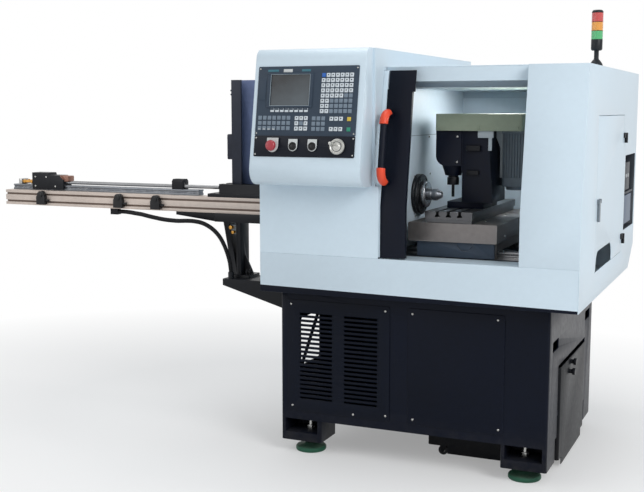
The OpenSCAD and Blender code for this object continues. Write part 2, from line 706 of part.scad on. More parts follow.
module header_beam() color("#b9c9d2") place() {
    box(lx1, rx0, hang_y - 3, hang_y, roof_z - 58, roof_z - sheet);
    box(ex0 + 10, rx0 - 4, hang_y, hang_y + 12, roof_z - 53, roof_z - 43);
    box(lx1, rx0, hang_y + 54, hang_y + 57, roof_z - 78, roof_z - sheet);
    box(lx1, rx0, hang_y - 3, hang_y + 57, roof_z - sheet - 3, roof_z - sheet);
}

// Control panel

module housing_shape(i, back) {
    y0 = -panel_out + panel_t / cos(tilt);
    c1 = [y0 + (round_low - (panel_z - house_z - round_low) * sin(tilt)) / cos(tilt), house_z + round_low];
    c2 = [y0 + (round_top + (left_top - round_top - panel_z) * sin(tilt)) / cos(tilt), left_top - round_top];
    polygon(concat(
        arc(c1, round_low - i, 270, 180 - tilt, 14),
        arc(c2, round_top - i, 180 - tilt, 90, 14),
        [[back, left_top - i], [back, house_z + i]]
    ));
}

module pendant_housing() color("#cfdfe8") place() difference() {
    along_x(housing_x0, housing_x1) housing_shape(0, ey0);
    along_x(housing_x0 + sheet, housing_x1 - sheet) housing_shape(sheet, ey0 + 1);
    on_panel(px0 + 12, 10, -30) cube([panel_w - 24, plate_h + cnc_h - 20, 50]);
}

module key(x, s) on_panel(px0 + x - 7.5, s_cnc + s - 7.5, -1) cube([15, 15, 3]);

module cnc_panel() color("#3a444f") place() difference() {
    union() {
        on_panel(px0, s_cnc, -panel_t) linear_extrude(panel_t) polygon(rrect(0, 0, panel_w, cnc_h, 4));
        on_panel(px0 + 43, s_cnc + 108, -1) linear_extrude(4) polygon(rrect(0, 0, 192, 136, 6));
        on_panel(px0 + 6, s_cnc + 138, -1) linear_extrude(2.5) polygon(rrect(0, 0, 30, 75, 4));
        for (i = [0:6], j = [0:7]) key(277.5 + i * 19.05, 95 + j * 19.6);
        for (i = [0:7]) key(68.8 + i * 20.4, 99);
        for (j = [0:2]) {
            for (i = [0:6]) key(19 + i * 20.2, 29 + j * 20);
            for (i = [0:2]) key(175 + i * 19.2, 28 + j * 20);
            for (i = [0:2]) key(246.5 + i * 19.6, 27 + j * 20);
        }
        for (j = [0, 1]) {
            for (i = [0:2]) key(319.5 + i * 19.3, 27 + j * 39);
            key(391.3, 26 + j * 39);
        }
    }
    on_panel(px0 + 57, s_cnc + 115, -panel_t - 1) cube([165, 122, 12]);
}

module screen() color("#0d1418") place() on_panel(px0 + 57, s_cnc + 115, -panel_t) cube([165, 122, 3]);

module button_panel() color("#15181d") place() difference() {
    union() {
        on_panel(px0, 0, -panel_t) linear_extrude(panel_t) polygon(rrect(0, 0, panel_w, plate_h, 4));
        for (x = [start_x, stop_x]) on_panel(x, s_btn, -1) cylinder(r = push_r + 3.5, h = 6);
        on_panel(estop_x, s_btn, -1) cylinder(r = 16, h = 6);
        on_panel(dial_x, s_btn, -1) cylinder(r = wheel_r - 4, h = 5);
    }
    for (x = [start_x, stop_x]) on_panel(x, s_btn, -panel_t - 1) cylinder(r = push_r + 0.3, h = 12);
    on_panel(estop_x, s_btn, -panel_t - 1) cylinder(r = 10 + 0.3, h = 12);
    on_panel(dial_x, s_btn, -panel_t - 1) cylinder(r = 5 + run, h = 12);
}

module estop_button() color("#b23a45") place() on_panel(estop_x, s_btn, 0) rotate_extrude() polygon([
    [0, -30], [10, -30], [10, 12], [estop_r - 5, 13], [estop_r - 1, 16], [estop_r, 19], [estop_r, 25],
    [estop_r - 1.5, 29], [estop_r - 5, 32], [estop_r - 10, 33], [0, 33]
]);

module push_button(x) place() on_panel(x, s_btn, 0) rotate_extrude()
    polygon([[0, -22], [push_r, -22], [push_r, 7.5], [push_r - 1, 9.3], [push_r - 3, 10], [0, 10]]);

module start_button() color("#1d1f23") push_button(start_x);

module stop_button() color("#1d1f23") push_button(stop_x);

module handwheel() color("#c9c6bc") place() on_panel(dial_x, s_btn, 0) {
    rotate_extrude() polygon([
        [0, -20], [5, -20], [5, 6], [wheel_r - 2, 6], [wheel_r, 8], [wheel_r, 15], [wheel_r - 2, 18],
        [wheel_r - 5, 18], [wheel_r - 7, 16], [12, 16], [10, 18], [0, 18]
    ]);
    translate([grip_x, grip_s, 15]) cylinder(r = grip_r, h = grip_n - 15);
}

// Sliding door

module door_shape(y0, y1, z0, z1) polygon([
    [ey0 + y0, z0], [ey0 + y0, crease_z], [front_y(z1) + y0, z1], [front_y(z1) + y1, z1],
    [ey0 + y1, crease_z], [ey0 + y1, z0]
]);

module lean_shape(y0, y1, z0, z1) polygon([
    [front_y(z0) + y0, z0], [front_y(z1) + y0, z1], [front_y(z1) + y1, z1], [front_y(z0) + y1, z0]
]);

module door_panel() color("#cfdfe8") place() {
    difference() {
        along_x(ex0 + 20, lx1 + 19) door_shape(12, 12 + door_t, sill_z + 4, door_z1);
        along_x(ex0 + 110, lx1 - 40) lean_shape(0, 24 + door_t, crease_z + 40, win_z1);
    }
    for (x = [ex0 + 40, lx1 - 60]) {
        box(x, x + 50, front_y(hang_z) + 10 + door_t, hang_y + 24, hang_z, hang_z + 12);
        box(x, x + 50, hang_y + 14, hang_y + 24, hang_z, hang_z + 46);
        box(x, x + 50, hang_y + 2, hang_y + 24, hang_z + 33 + gap, hang_z + 46);
    }
}

module door_window() color("#9fb6c2") place() along_x(ex0 + 110, lx1 - 40)
    lean_shape(12 + door_t / 2 - 3, 12 + door_t / 2 + 3, crease_z + 40, win_z1);

module door_post() color("#16181c") place() {
    along_x(lx1 + 19, lx1 + 19 + post_w) door_shape(10, 10 + door_t + 2, sill_z + 4, roof_z - 88);
    along_x(lx1 + 24, lx1 + 19 + post_w + 12) lean_shape(10, 16, roof_z - 98, door_z1);
}

module grip_arc(r0, r1, a0, a1) rotate([90, 0, 90]) rotate([0, 0, a0]) rotate_extrude(angle = a1 - a0)
    translate([elbow, 0]) difference() {
        circle(r1);
        if (r0 > 0) circle(r0);
    }

module door_handle() color("#17191d") place() on_door(handle_x, handle_z) {
    for (s = [16, handle_h - 16]) translate([0, s, 0]) cylinder(r = handle_r, h = handle_n - elbow);
    translate([0, 16 + elbow, handle_n - elbow]) grip_arc(0, handle_r, 90, 180);
    translate([0, handle_h - 16 - elbow, handle_n - elbow]) grip_arc(0, handle_r, 0, 90);
    translate([0, 16 + elbow, handle_n]) rotate([-90, 0, 0])
        cylinder(r = handle_r, h = handle_h - 32 - 2 * elbow);
}

module cap_arc(a0, a1) rotate([90, 0, 90]) rotate([0, 0, a0]) rotate_extrude(angle = a1 - a0)
    translate([elbow, 0]) difference() {
        circle(handle_r + cap_t);
        circle(handle_r + 0.2);
        translate([-2 * handle_r, -2 * handle_r]) square([2 * handle_r - 3, 4 * handle_r]);
    }

module handle_caps() color("#e2603c") place() on_door(handle_x, handle_z) {
    translate([0, 16 + elbow, handle_n - elbow]) cap_arc(88, 176);
    translate([0, handle_h - 16 - elbow, handle_n - elbow]) cap_arc(4, 92);
}

// Side cabinet

module cabinet_door() color("#cfdfe8") place() {
    along_x(ex1 - sheet, ex1) difference() {
        polygon(rrect(cab_y0 + 2, cab_z0 + 2, cab_y1 - 2, cab_z1 - 2, 8));
        polygon(concat(
            [[cab_y0 + 20, cab_z0 + 1], [cab_y0 + 420, cab_z0 + 1]],
            arc([cab_y0 + 360, cab_z0 + 20], 60, 0, 90, 10), arc([cab_y0 + 80, cab_z0 + 20], 60, 90, 180, 10)
        ));
    }
    for (z = hinge_z) {
        rod_z(ex1 + hinge_r, cab_y1 + 14, z + 0.3, z + 22, hinge_r);
        box(ex1, ex1 + hinge_r, cab_y1 - 24, cab_y1 + 14, z + 0.3, z + 22);
    }
    for (y = [cab_y0 + 13, cab_y0 + 51]) difference() {
        box(ex1 - 1, ex1 + 11, y, y + 6, latch_z - 8, latch_z + 8);
        rod_y(ex1 + 5.5, y - 1, y + 7, latch_z, 4 + run);
    }
}

module latch_lever() color("#8f979d") place() {
    along_x(ex1 + 1.5, ex1 + 9.5) polygon(rrect(cab_y0 + 24, latch_z - 80, cab_y0 + 46, latch_z + 2, 6));
    rod_y(ex1 + 5.5, cab_y0 + 14, cab_y0 + 56, latch_z, 4);
}

module switch_gear() color("#30363c") place() {
    difference() {
        box(ex1 - sheet - 70, ex1 - sheet, rec_y0 - 8, rec_y1 + 8, rec_z0 - 8, rec_z1 + 8);
        box(ex1 - sheet - 67, ex1 - sheet + 1, rec_y0, rec_y1, rec_z0, rec_z1);
    }
    along_x(ex1 - sheet - 68, ex1 - sheet - 28)
        polygon(rrect(rec_y0 + 40, rec_z0 + 175, rec_y0 + 200, rec_z0 + 300, 10));
    for (z = [210, 265]) rod_x(ex1 - sheet - 29, ex1 - sheet - 20, rec_y0 + 120, rec_z0 + z, 14);
    along_x(ex1 - sheet - 36, ex1 - sheet - 26)
        translate([rec_y0 - 1, rec_z0 + 158]) square([rec_y1 - rec_y0 + 2, 9]);
    along_x(ex1 - sheet - 68, ex1 - sheet - 40)
        polygon(rrect(rec_y0 + 60, rec_z0 + 20, rec_y0 + 280, rec_z0 + 150, 8));
}

// Coolant tank

module tank_wheel(i, j) place() {
    x = i == 0 ? tank_x0 + castor_in : tank_x1 - castor_in;
    y = j == 0 ? tank_y0 + 30 : tank_y1 - 30;
    difference() {
        rod_y(x, y - 9, y + 9, castor_z, castor_r);
        rod_y(x, y - 10, y + 10, castor_z, 4 + run);
    }
}

module coolant_tank() color("#1b222c") place() {
    difference() {
        up_z(tank_z0, tank_z) polygon(rrect(tank_x0, tank_y0, tank_x1, tank_y1, 12));
        up_z(tank_z0 + 4, tank_z + 1) polygon(rrect(tank_x0 + 4, tank_y0 + 4, tank_x1 - 4, tank_y1 - 4, 8));
    }
    for (x = [tank_x0 + castor_in, tank_x1 - castor_in], y = [tank_y0 + 30, tank_y1 - 30]) {
        for (d = [-13, 10]) along_y(y + d, y + d + 3) polygon(concat(
            arc([x, castor_z], 8, 180, 360, 8), [[x + 14, tank_z0 + 1], [x - 14, tank_z0 + 1]]
        ));
        rod_y(x, y - 11, y + 11, castor_z, 4);
    }
    box(tank_x0 + castor_in + 25, tank_x1 - castor_in, tank_y0, tank_y0 + 3, 14, tank_z0 + 1);
    box(tank_x1 - 3, tank_x1, tank_y0 + 58, tank_y1 - 58, 14, tank_z0 + 1);
    for (v = [[217, tank_z - 20], [195, tank_z - 56]]) {
        rod_x(tank_x1 - 1, tank_x1 + 12, tank_y0 + v[0], v[1], 9);
        rod_x(tank_x1 + 11, tank_x1 + 22, tank_y0 + v[0], v[1], 14);
    }
}

module tank_wheel_a() color("#23272c") tank_wheel(0, 0);

module tank_wheel_b() color("#23272c") tank_wheel(1, 0);

module tank_wheel_c() color("#23272c") tank_wheel(0, 1);

module tank_wheel_d() color("#23272c") tank_wheel(1, 1);

// Signal tower

module signal_tower() color("#1a1c20") place() translate([tower_x, tower_y, roof_z]) {
    rotate_extrude() polygon(concat(
        [[0, 0], [lamp_r + 3, 0], [lamp_r + 3, 5], [lamp_r + 1, 9], [15, 20], [10, 25], [9, 30], [9, 58]],
        [[lamp_r - 4, 58], [lamp_r, 63], [lamp_r, 100], [6, 100]],
        [for (i = [1, 2]) each [[6, 98 + i * lamp_h], [lamp_r, 98 + i * lamp_h], [lamp_r, 100 + i * lamp_h],
            [6, 100 + i * lamp_h]]],
        [[6, 100 + 3 * lamp_h], [lamp_r, 100 + 3 * lamp_h], [lamp_r, 104 + 3 * lamp_h]],
        [[lamp_r - 2, 108 + 3 * lamp_h], [lamp_r - 6, 111 + 3 * lamp_h], [0, 112 + 3 * lamp_h]]
    ));
}

module lamp_lenses() color("#d98a2b") place() translate([tower_x, tower_y, roof_z + 100])
    for (i = [0:2]) translate([0, 0, i * lamp_h]) difference() {
        cylinder(r = lamp_r, h = i == 2 ? lamp_h : lamp_h - 2);
        translate([0, 0, -1]) cylinder(r = lamp_r - 3, h = lamp_h + 2);
    }

// Loader

module loader_bracket() color("#171b22") place() {
    along_y(axis_y - 104, axis_y + 56) polygon([
        [0, base_h - 140], [0, base_h - 12], [stand_x + 18, base_h - 12], [stand_x + 18, base_h - 40]
    ]);
    up_z(base_h - 13, base_h) polygon(rrect(stand_x + 22, beam_y0, stand_x + 124, beam_y0 + 105, 8));
    along_y(beam_y0 + 15, beam_y0 + 95) polygon([
        [stand_x + 31, base_h - 1], [stand_x + 56, base_h - 1],
        [stand_x + 15, beam_z0 - 37], [stand_x - 11, beam_z0 - 37]
    ]);
    up_z(base_h - 1, beam_z0 - 37) polygon(rrect(stand_x + 50, beam_y0 + 15, stand_x + 76, beam_y0 + 95, 6));
    box(stand_x + 14, stand_x + 51, beam_y0 + 25, beam_y0 + 75, beam_z0 - 92, beam_z0 - 52);
    rod_y(stand_x + 28, beam_y0 + 7, beam_y0 + 26, beam_z0 - 62, 8);
    rod_y(stand_x + 38, beam_y0 + 7, beam_y0 + 26, beam_z0 - 83, 7);
    along_y(beam_y0 + 50, beam_y0 + 60) polygon([
        [stand_x + 75, base_h - 1], [stand_x + 118, base_h - 1], [stand_x + 75, base_h + 90]
    ]);
    up_z(beam_z0 - 38, beam_z0) polygon(rrect(stand_x - 46, beam_y0 - 5, beam_x1 - 40, beam_y0 + 95, 6));
    along_y(beam_y0 + 5, beam_y0 + beam_s + 5) polygon([
        [stand_x - 45, beam_z0 - 38], [stand_x - 45, beam_z0],
        [stand_x - 246, beam_z0], [stand_x - 246, beam_z0 - 15]
    ]);
    for (x = [104, 118]) {
        rod_z(stand_x + x, beam_y0 + 16, base_h - 1, base_h + 26, 4);
        translate([stand_x + x, beam_y0 + 16, base_h + 10]) cylinder(r = 8, h = 7, $fn = 6);
    }
    rod_z(hose_end[0], hose_end[1], base_h - 13, hose_end[2], hose_r + 3);
}

module beam_slot(w1, d1, w2, d2) {
    translate([-w1 / 2, -1]) square([w1, d1 + 1]);
    translate([-w2 / 2, d1 - 0.01]) square([w2, d2]);
}

module loader_rail() color("#c9c2b6") place() {
    along_x(beam_x0, beam_x1) difference() {
        translate([beam_y0, beam_z0]) square([beam_s, beam_s]);
        for (d = [beam_s / 4, 3 * beam_s / 4]) {
            translate([beam_y0, beam_z0 + d]) rotate(-90) beam_slot(9, 5, 12, 5);
            translate([beam_y0 + beam_s, beam_z0 + d]) rotate(90) beam_slot(9, 5, 12, 5);
            translate([beam_y0 + d, beam_z0]) beam_slot(9, 5, 12, 5);
            for (e = [beam_s / 4, 3 * beam_s / 4]) translate([beam_y0 + d, beam_z0 + e]) circle(4.5);
        }
        translate([beam_y0 + beam_s / 2, beam_z0 + beam_s / 2]) circle(12);
    }
    translate([hose_route[0][0], hose_route[0][1], beam_z0]) box(-40, 0, -13, 13, -30, 0);
}

module guide_rail() color("#b5b3ad") place() along_x(beam_x0 + 20, stand_x - 146) polygon([
    [axis_y - 19, beam_z1], [axis_y + 26, beam_z1], [axis_y + 26, beam_z1 + 9],
    [axis_y + 21, beam_z1 + 12], [axis_y + 21, beam_z1 + 16], [axis_y + 26, beam_z1 + 19],
    [axis_y + 26, beam_z1 + 26], [axis_y - 19, beam_z1 + 26], [axis_y - 19, beam_z1 + 19],
    [axis_y - 14, beam_z1 + 16], [axis_y - 14, beam_z1 + 12], [axis_y - 19, beam_z1 + 9]
]);

module rod_guide() color("#17191d") place() difference() {
    along_x(stand_x - 283, stand_x - 226) polygon([
        [axis_y - 22, beam_z1 + 26], [axis_y + 29, beam_z1 + 26], [axis_y + 29, axis_z + 23],
        [axis_y + 19, axis_z + 33], [axis_y - 12, axis_z + 33], [axis_y - 22, axis_z + 23]
    ]);
    rod_x(stand_x - 284, stand_x - 225, axis_y, axis_z, rod_r + run);
}

module feed_block() color("#17191d") place() difference() {
    union() {
        box(stand_x - 81, beam_x1 - 40, beam_y0, beam_y0 + 100, beam_z1, beam_z1 + 15);
        box(stand_x - 26, beam_x1 - 40, beam_y0 + 5, beam_y0 + 105, beam_z1 + 15, axis_z + 19);
    }
    rod_x(stand_x - 82, beam_x1 - 39, axis_y, axis_z, mag_gap / 2);
    box(stand_x - 82, beam_x1 - 39, axis_y - mag_gap / 2, axis_y + mag_gap / 2, axis_z, axis_z + 20);
}

module magazine() color("#3c4658") place() {
    g = mag_gap / 2;
    x0 = mag_x0;
    z0 = mag_z0;
    box(x0, x0 + 46, axis_y - g - 12, axis_y - g, z0, mag_top);
    box(x0, x0 + 12, axis_y - g - 1, axis_y + g + 1, z0, mag_top);
    along_y(axis_y + g, axis_y + g + 12) polygon([
        [x0, z0], [x0 + 80, z0], [x0 + 80, z0 + 150], [x0 + 235, z0 + 240], [x0 + 235, mag_top], [x0, mag_top]
    ]);
    along_y(axis_y - g - 8, axis_y + g + 4) polygon(rrect(x0 - 24, z0 + 108, x0 + 1, z0 + 218, 6));
    for (z = [126, 200]) rod_x(x0 - 34, x0 - 23, axis_y, z0 + z, 7);
    for (z = [45, 62]) rod_x(x0 - 14, x0 + 1, axis_y - 6, mag_top - z, 4);
    along_y(axis_y + g, axis_y + g + 26) polygon(rrect(x0 + 79, z0, x0 + 116, z0 + 185, 5));
    for (z = [60, 140]) rod_y(x0 + 99, axis_y + g - 16, axis_y + g + 1, z0 + z, 9);
}

module pusher() color("#17191d") place() difference() {
    union() {
        along_y(axis_y - 29, axis_y + 36) polygon([
            [beam_x0 + 140, beam_z1 + 5], [beam_x0 + 320, beam_z1 + 5], [beam_x0 + 320, axis_z + 14],
            [beam_x0 + 300, axis_z + 34], [beam_x0 + 236, axis_z + 34], [beam_x0 + 232, axis_z + 45],
            [beam_x0 + 140, axis_z + 45]
        ]);
        rod_x(beam_x0 + 319, stand_x - 51, axis_y, axis_z, rod_r);
        for (y = [-12, 16]) {
            rod_x(beam_x0 + 72, beam_x0 + 141, axis_y + y, axis_z, 7);
            for (x = [80, 122]) translate([beam_x0 + x, axis_y + y, axis_z]) rotate([0, 90, 0])
                cylinder(r = 10, h = 9, $fn = 6);
        }
        along_y(axis_y - 20, axis_y + 24)
            polygon(rrect(beam_x0 + 299, axis_z + 6, beam_x0 + 344, axis_z + 32, 4));
    }
    box(beam_x0 + 139, beam_x0 + 321, axis_y - 19 - gap, axis_y + 26 + gap, beam_z1 + 4, beam_z1 + 26 + gap);
}

module sensors() color("#1a1c20") place() for (x = [beam_x0 + 220, stand_x - 541, stand_x - 342])
    translate([x - 24, beam_y0, beam_z0]) {
        along_y(-22, 0) polygon(concat(
            [[0, 6], [48, 6], [48, 42]], arc([24, 52], 18, 0, 180, 12), [[0, 42]]
        ));
        rod_y(24, -26, -21, 52, 12);
        rod_x(47, 66, -10, 26, 5);
    }

module hose() color("#15171a") place() {
    n = len(hose_route);
    k = 10;
    rings = [
        for (i = [0:n - 1])
            let (a = hose_route[max(i - 1, 0)], b = hose_route[min(i + 1, n - 1)])
            ring(hose_route[i], i == 0 ? [1, 0, 0] : i == n - 1 ? [0, 0, -1] : unit(b - a), hose_r, k)
    ];
    pts = [for (r = rings) each r];
    walls = [
        for (i = [0:n - 2], j = [0:k - 1])
            [i * k + j, i * k + (j + 1) % k, (i + 1) * k + (j + 1) % k, (i + 1) * k + j]
    ];
    ends = [[for (j = [0:k - 1]) k - 1 - j], [for (j = [0:k - 1]) (n - 1) * k + j]];
    polyhedron(points = pts, faces = concat(walls, ends));
}

base_frame();
louvre_panel();
front_panel();
levelling_feet();
bed();
z_screw();
saddle();
x_screw();
cross_slide();
mill_column();
mill_head();
belt_cover();
mill_motor();
mill_spindle();
headstock();
spindle_bearings();
bearing_cap();
spindle();
collet_nose();
main_motor();
motor_pulley();
drive_belt();
chamber_liner();
left_cover();
front_apron();
right_cover();
rear_cover();
header_beam();
pendant_housing();
cnc_panel();
screen();
button_panel();
estop_button();
start_button();
stop_button();
handwheel();
door_panel();
door_window();
door_post();
door_handle();
handle_caps();
cabinet_door();
latch_lever();
switch_gear();
signal_tower();
lamp_lenses();
coolant_tank();
tank_wheel_a();
tank_wheel_b();
tank_wheel_c();
tank_wheel_d();
loader_bracket();
loader_rail();
guide_rail();
rod_guide();
feed_block();
magazine();
pusher();
sensors();
hose();
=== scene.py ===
"""Looks of an enclosed turning lathe with a bar loader, in the frame of its solid model, in metres."""
from __future__ import annotations

import json
import logging
import math
from dataclasses import dataclass, field
from enum import Enum
from typing import Any, Iterable, Sequence

import bmesh
import bpy
from mathutils import Matrix, Vector

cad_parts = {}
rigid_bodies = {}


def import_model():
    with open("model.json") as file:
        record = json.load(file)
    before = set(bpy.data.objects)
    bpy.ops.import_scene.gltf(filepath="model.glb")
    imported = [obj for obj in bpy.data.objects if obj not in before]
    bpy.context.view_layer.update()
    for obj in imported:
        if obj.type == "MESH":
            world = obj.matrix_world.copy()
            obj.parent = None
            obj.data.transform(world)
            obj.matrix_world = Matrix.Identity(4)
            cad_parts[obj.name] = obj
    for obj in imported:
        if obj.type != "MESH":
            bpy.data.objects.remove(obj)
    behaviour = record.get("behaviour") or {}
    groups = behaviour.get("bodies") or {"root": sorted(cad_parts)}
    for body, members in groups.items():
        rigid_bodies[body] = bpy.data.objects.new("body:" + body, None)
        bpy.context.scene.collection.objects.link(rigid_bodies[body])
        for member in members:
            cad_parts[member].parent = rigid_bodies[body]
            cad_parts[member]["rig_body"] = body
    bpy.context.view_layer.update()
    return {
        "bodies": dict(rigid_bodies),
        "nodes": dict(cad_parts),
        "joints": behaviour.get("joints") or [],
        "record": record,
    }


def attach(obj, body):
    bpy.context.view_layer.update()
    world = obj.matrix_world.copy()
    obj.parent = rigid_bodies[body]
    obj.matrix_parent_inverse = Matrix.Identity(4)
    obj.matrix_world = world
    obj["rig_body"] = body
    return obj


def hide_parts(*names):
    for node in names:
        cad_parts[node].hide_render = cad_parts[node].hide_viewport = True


LOG = logging.getLogger("lathe")

Rgb = tuple[float, float, float]
Triple = tuple[float, float, float]
Spot = tuple[Triple, Triple]
Zone = tuple[Triple, Triple, "Finish"]

MADE: dict[str, bpy.types.Material] = {}
MM = 0.001
CENTRE_X = -165.5
CENTRE_Y = 545.7877
SHARP = math.radians(38)
SPINDLE_AXIS = (0, 254, 1079)
TOWER_AXIS = (1197, 300, 0)
PANEL_CORNER = (-15, -210, 1243)
PANEL_TILT = math.radians(9.4)
BUTTON_ROW = 40.5
PAINT_LINE = (-55.0, -80.0, 717.0)
PAINT_FALL = 0.0125


def to_frame() -> Matrix:
    """Matrix from the machine's millimetres to the frame's metres."""
    return Matrix.Scale(MM, 4) @ Matrix.Translation((-CENTRE_X, -CENTRE_Y, 0.0))


def at(x: float, y: float, z: float) -> Vector:
    """Point of the frame for a point of the machine in millimetres."""
    return Vector((x - CENTRE_X, y - CENTRE_Y, z)) * MM


def linear(colour: Rgb) -> tuple[float, float, float, float]:
    """Turns a display colour of 0 to 255 into scene light.

    Args:
        colour: Red, green and blue as a screen shows them.

    Returns:
        The same colour as linear values with full alpha.
    """
    out = []
    for part in colour:
        c = max(0.0, min(255.0, part)) / 255
        out.append(c / 12.92 if c <= 0.04045 else ((c + 0.055) / 1.055) ** 2.4)
    return out[0], out[1], out[2], 1.0


class Grain(Enum):
    """Relief that a surface carries."""

    PEEL = "sprayed paint"
    CAST = "sand casting"
    ALONG_X = "brushed along x"
    ALONG_Y = "brushed along y"
    TURNED = "turned about the spindle axis"
    RUBBER = "moulded rubber"
    PLASTIC = "moulded plastic"


class Sock:
    """A node socket that takes part in Python expressions."""

    def __init__(self, tree: bpy.types.NodeTree, socket: bpy.types.NodeSocket) -> None:
        """Keeps the tree and the output socket."""
        self.tree = tree
        self.socket = socket

    def math(self, operation: str, first: Any, second: Any = 0.0, clamp: bool = False) -> "Sock":
        """Adds one Math node.

        Args:
            operation: Name of the node's operation.
            first: First value, a number or a Sock.
            second: Second value, a number or a Sock.
            clamp: Whether the result is held between 0 and 1.

        Returns:
            The node's result.
        """
        node = self.tree.nodes.new("ShaderNodeMath")
        node.operation = operation
        node.use_clamp = clamp
        for place, value in enumerate((first, second)):
            if isinstance(value, Sock):
                self.tree.links.new(value.socket, node.inputs[place])
            else:
                node.inputs[place].default_value = float(value)
        return Sock(self.tree, node.outputs[0])

    def __add__(self, other: Any) -> "Sock":
        """Sum."""
        return self.math("ADD", self, other)

    def __radd__(self, other: Any) -> "Sock":
        """Sum with a number on the left."""
        return self.math("ADD", other, self)

    def __sub__(self, other: Any) -> "Sock":
        """Difference."""
        return self.math("SUBTRACT", self, other)

    def __rsub__(self, other: Any) -> "Sock":
        """Difference with a number on the left."""
        return self.math("SUBTRACT", other, self)

    def __mul__(self, other: Any) -> "Sock":
        """Product."""
        return self.math("MULTIPLY", self, other)

    def __rmul__(self, other: Any) -> "Sock":
        """Product with a number on the left."""
        return self.math("MULTIPLY", other, self)

    def __truediv__(self, other: Any) -> "Sock":
        """Quotient."""
        return self.math("DIVIDE", self, other)

    def __rtruediv__(self, other: Any) -> "Sock":
        """Quotient with a number on the left."""
        return self.math("DIVIDE", other, self)

    def held(self) -> "Sock":
        """The value held between 0 and 1."""
        return self.math("ADD", self, 0.0, clamp=True)


class Shader:
    """Node tree of one material or of the world."""

    def __init__(self, owner: bpy.types.Material | bpy.types.World,
                 end: str = "ShaderNodeOutputMaterial") -> None:
        """Starts an empty node tree.

        Args:
            owner: Material or world that gets the nodes.
            end: Blender's type of the closing node.
        """
        self.owner = owner
        owner.use_nodes = True
        self.tree = owner.node_tree
        self.tree.nodes.clear()
        self.end = self.add(end)

    @classmethod
    def named(cls, name: str) -> "Shader":
        """Node tree of a new material."""
        return cls(bpy.data.materials.new(name))

    def add(self, kind: str, settings: dict[str, Any] | None = None,
            sockets: dict[Any, Any] | None = None) -> bpy.types.Node:
        """Adds any node.

        Args:
            kind: Blender's type of the node.
            settings: Properties set first; "stops" are a ramp's places and colours.
            sockets: Values or links of its inputs, by name or number.

        Returns:
            The new node.
        """
        node = self.tree.nodes.new(kind)
        for key, value in (settings or {}).items():
            if key == "stops":
                ramp = node.color_ramp
                while len(ramp.elements) > 1:
                    ramp.elements.remove(ramp.elements[-1])
                ramp.elements[0].position, ramp.elements[0].color = value[0]
                for place, colour in value[1:]:
                    ramp.elements.new(place).color = colour
            elif key == "interpolation":
                node.color_ramp.interpolation = value
            else:
                setattr(node, key, value)
        for key, value in (sockets or {}).items():
            if isinstance(value, Sock):
                self.tree.links.new(value.socket, node.inputs[key])
            else:
                node.inputs[key].default_value = value
        return node

    def out(self, node: bpy.types.Node, name: Any = 0) -> Sock:
        """One output of a node."""
        return Sock(self.tree, node.outputs[name])

    def coords(self, move: Triple = (0, 0, 0), turn: Triple = (0, 0, 0), scale: Triple = (1, 1, 1)) -> Sock:
        """Object coordinates through a Mapping node.

        Args:
            move: Shift in metres.
            turn: Rotation in radians.
            scale: Scale of the three axes.

        Returns:
            The mapped vector.
        """
        place = self.out(self.add("ShaderNodeTexCoord"), "Object")
        return self.out(self.add("ShaderNodeMapping", None, {
            "Vector": place, "Location": move, "Rotation": turn, "Scale": scale}))

    def noise(self, coords: Sock, scale: float, detail: float = 2.0, rough: float = 0.5) -> Sock:
        """Noise of one scale, about 0 to 1."""
        return self.out(self.add("ShaderNodeTexNoise", None, {
            "Vector": coords, "Scale": scale, "Detail": detail, "Roughness": rough}), 0)

    def mix(self, factor: Any, first: Any, second: Any) -> Sock:
        """Blends two colours.

        Args:
            factor: Share of the second, a Sock or a number.
            first: First colour.
            second: Second colour.

        Returns:
            The blended colour.
        """
        node = self.add("ShaderNodeMix", {"data_type": "RGBA"}, {0: factor, 6: first, 7: second})
        return self.out(node, 2)

    def part(self, vector: Sock, axis: int) -> Sock:
        """One coordinate of a vector."""
        return self.out(self.add("ShaderNodeSeparateXYZ", None, {0: vector}), axis)

    def bump(self, height: Sock, strength: float, distance: float) -> Sock:
        """Normal from a height."""
        return self.out(self.add("ShaderNodeBump", None, {
            "Height": height, "Strength": strength, "Distance": distance}))

    def principled(self, sockets: dict[str, Any]) -> bpy.types.Material:
        """Ends the tree in a Principled shader.

        Args:
            sockets: Values and links of the shader's inputs.

        Returns:
            The finished material.
        """
        self.close(self.add("ShaderNodeBsdfPrincipled", None, sockets))
        return self.owner

    def close(self, shader: bpy.types.Node) -> None:
        """Links a shader to the closing node."""
        self.tree.links.new(shader.outputs[0], self.end.inputs[0])

    def background_rays(self) -> Sock:
        """Mask of the rays that show the background: seen, mirrored or let through.

        Returns:
            One for such a ray, or else zero.
        """
        path = self.add("ShaderNodeLightPath")
        rays = [self.out(path, name) for name in ("Is Camera Ray", "Is Glossy Ray", "Is Transmission Ray")]
        seen = rays[0].math("MAXIMUM", rays[0], rays[1])
        return seen.math("MAXIMUM", seen, rays[2])


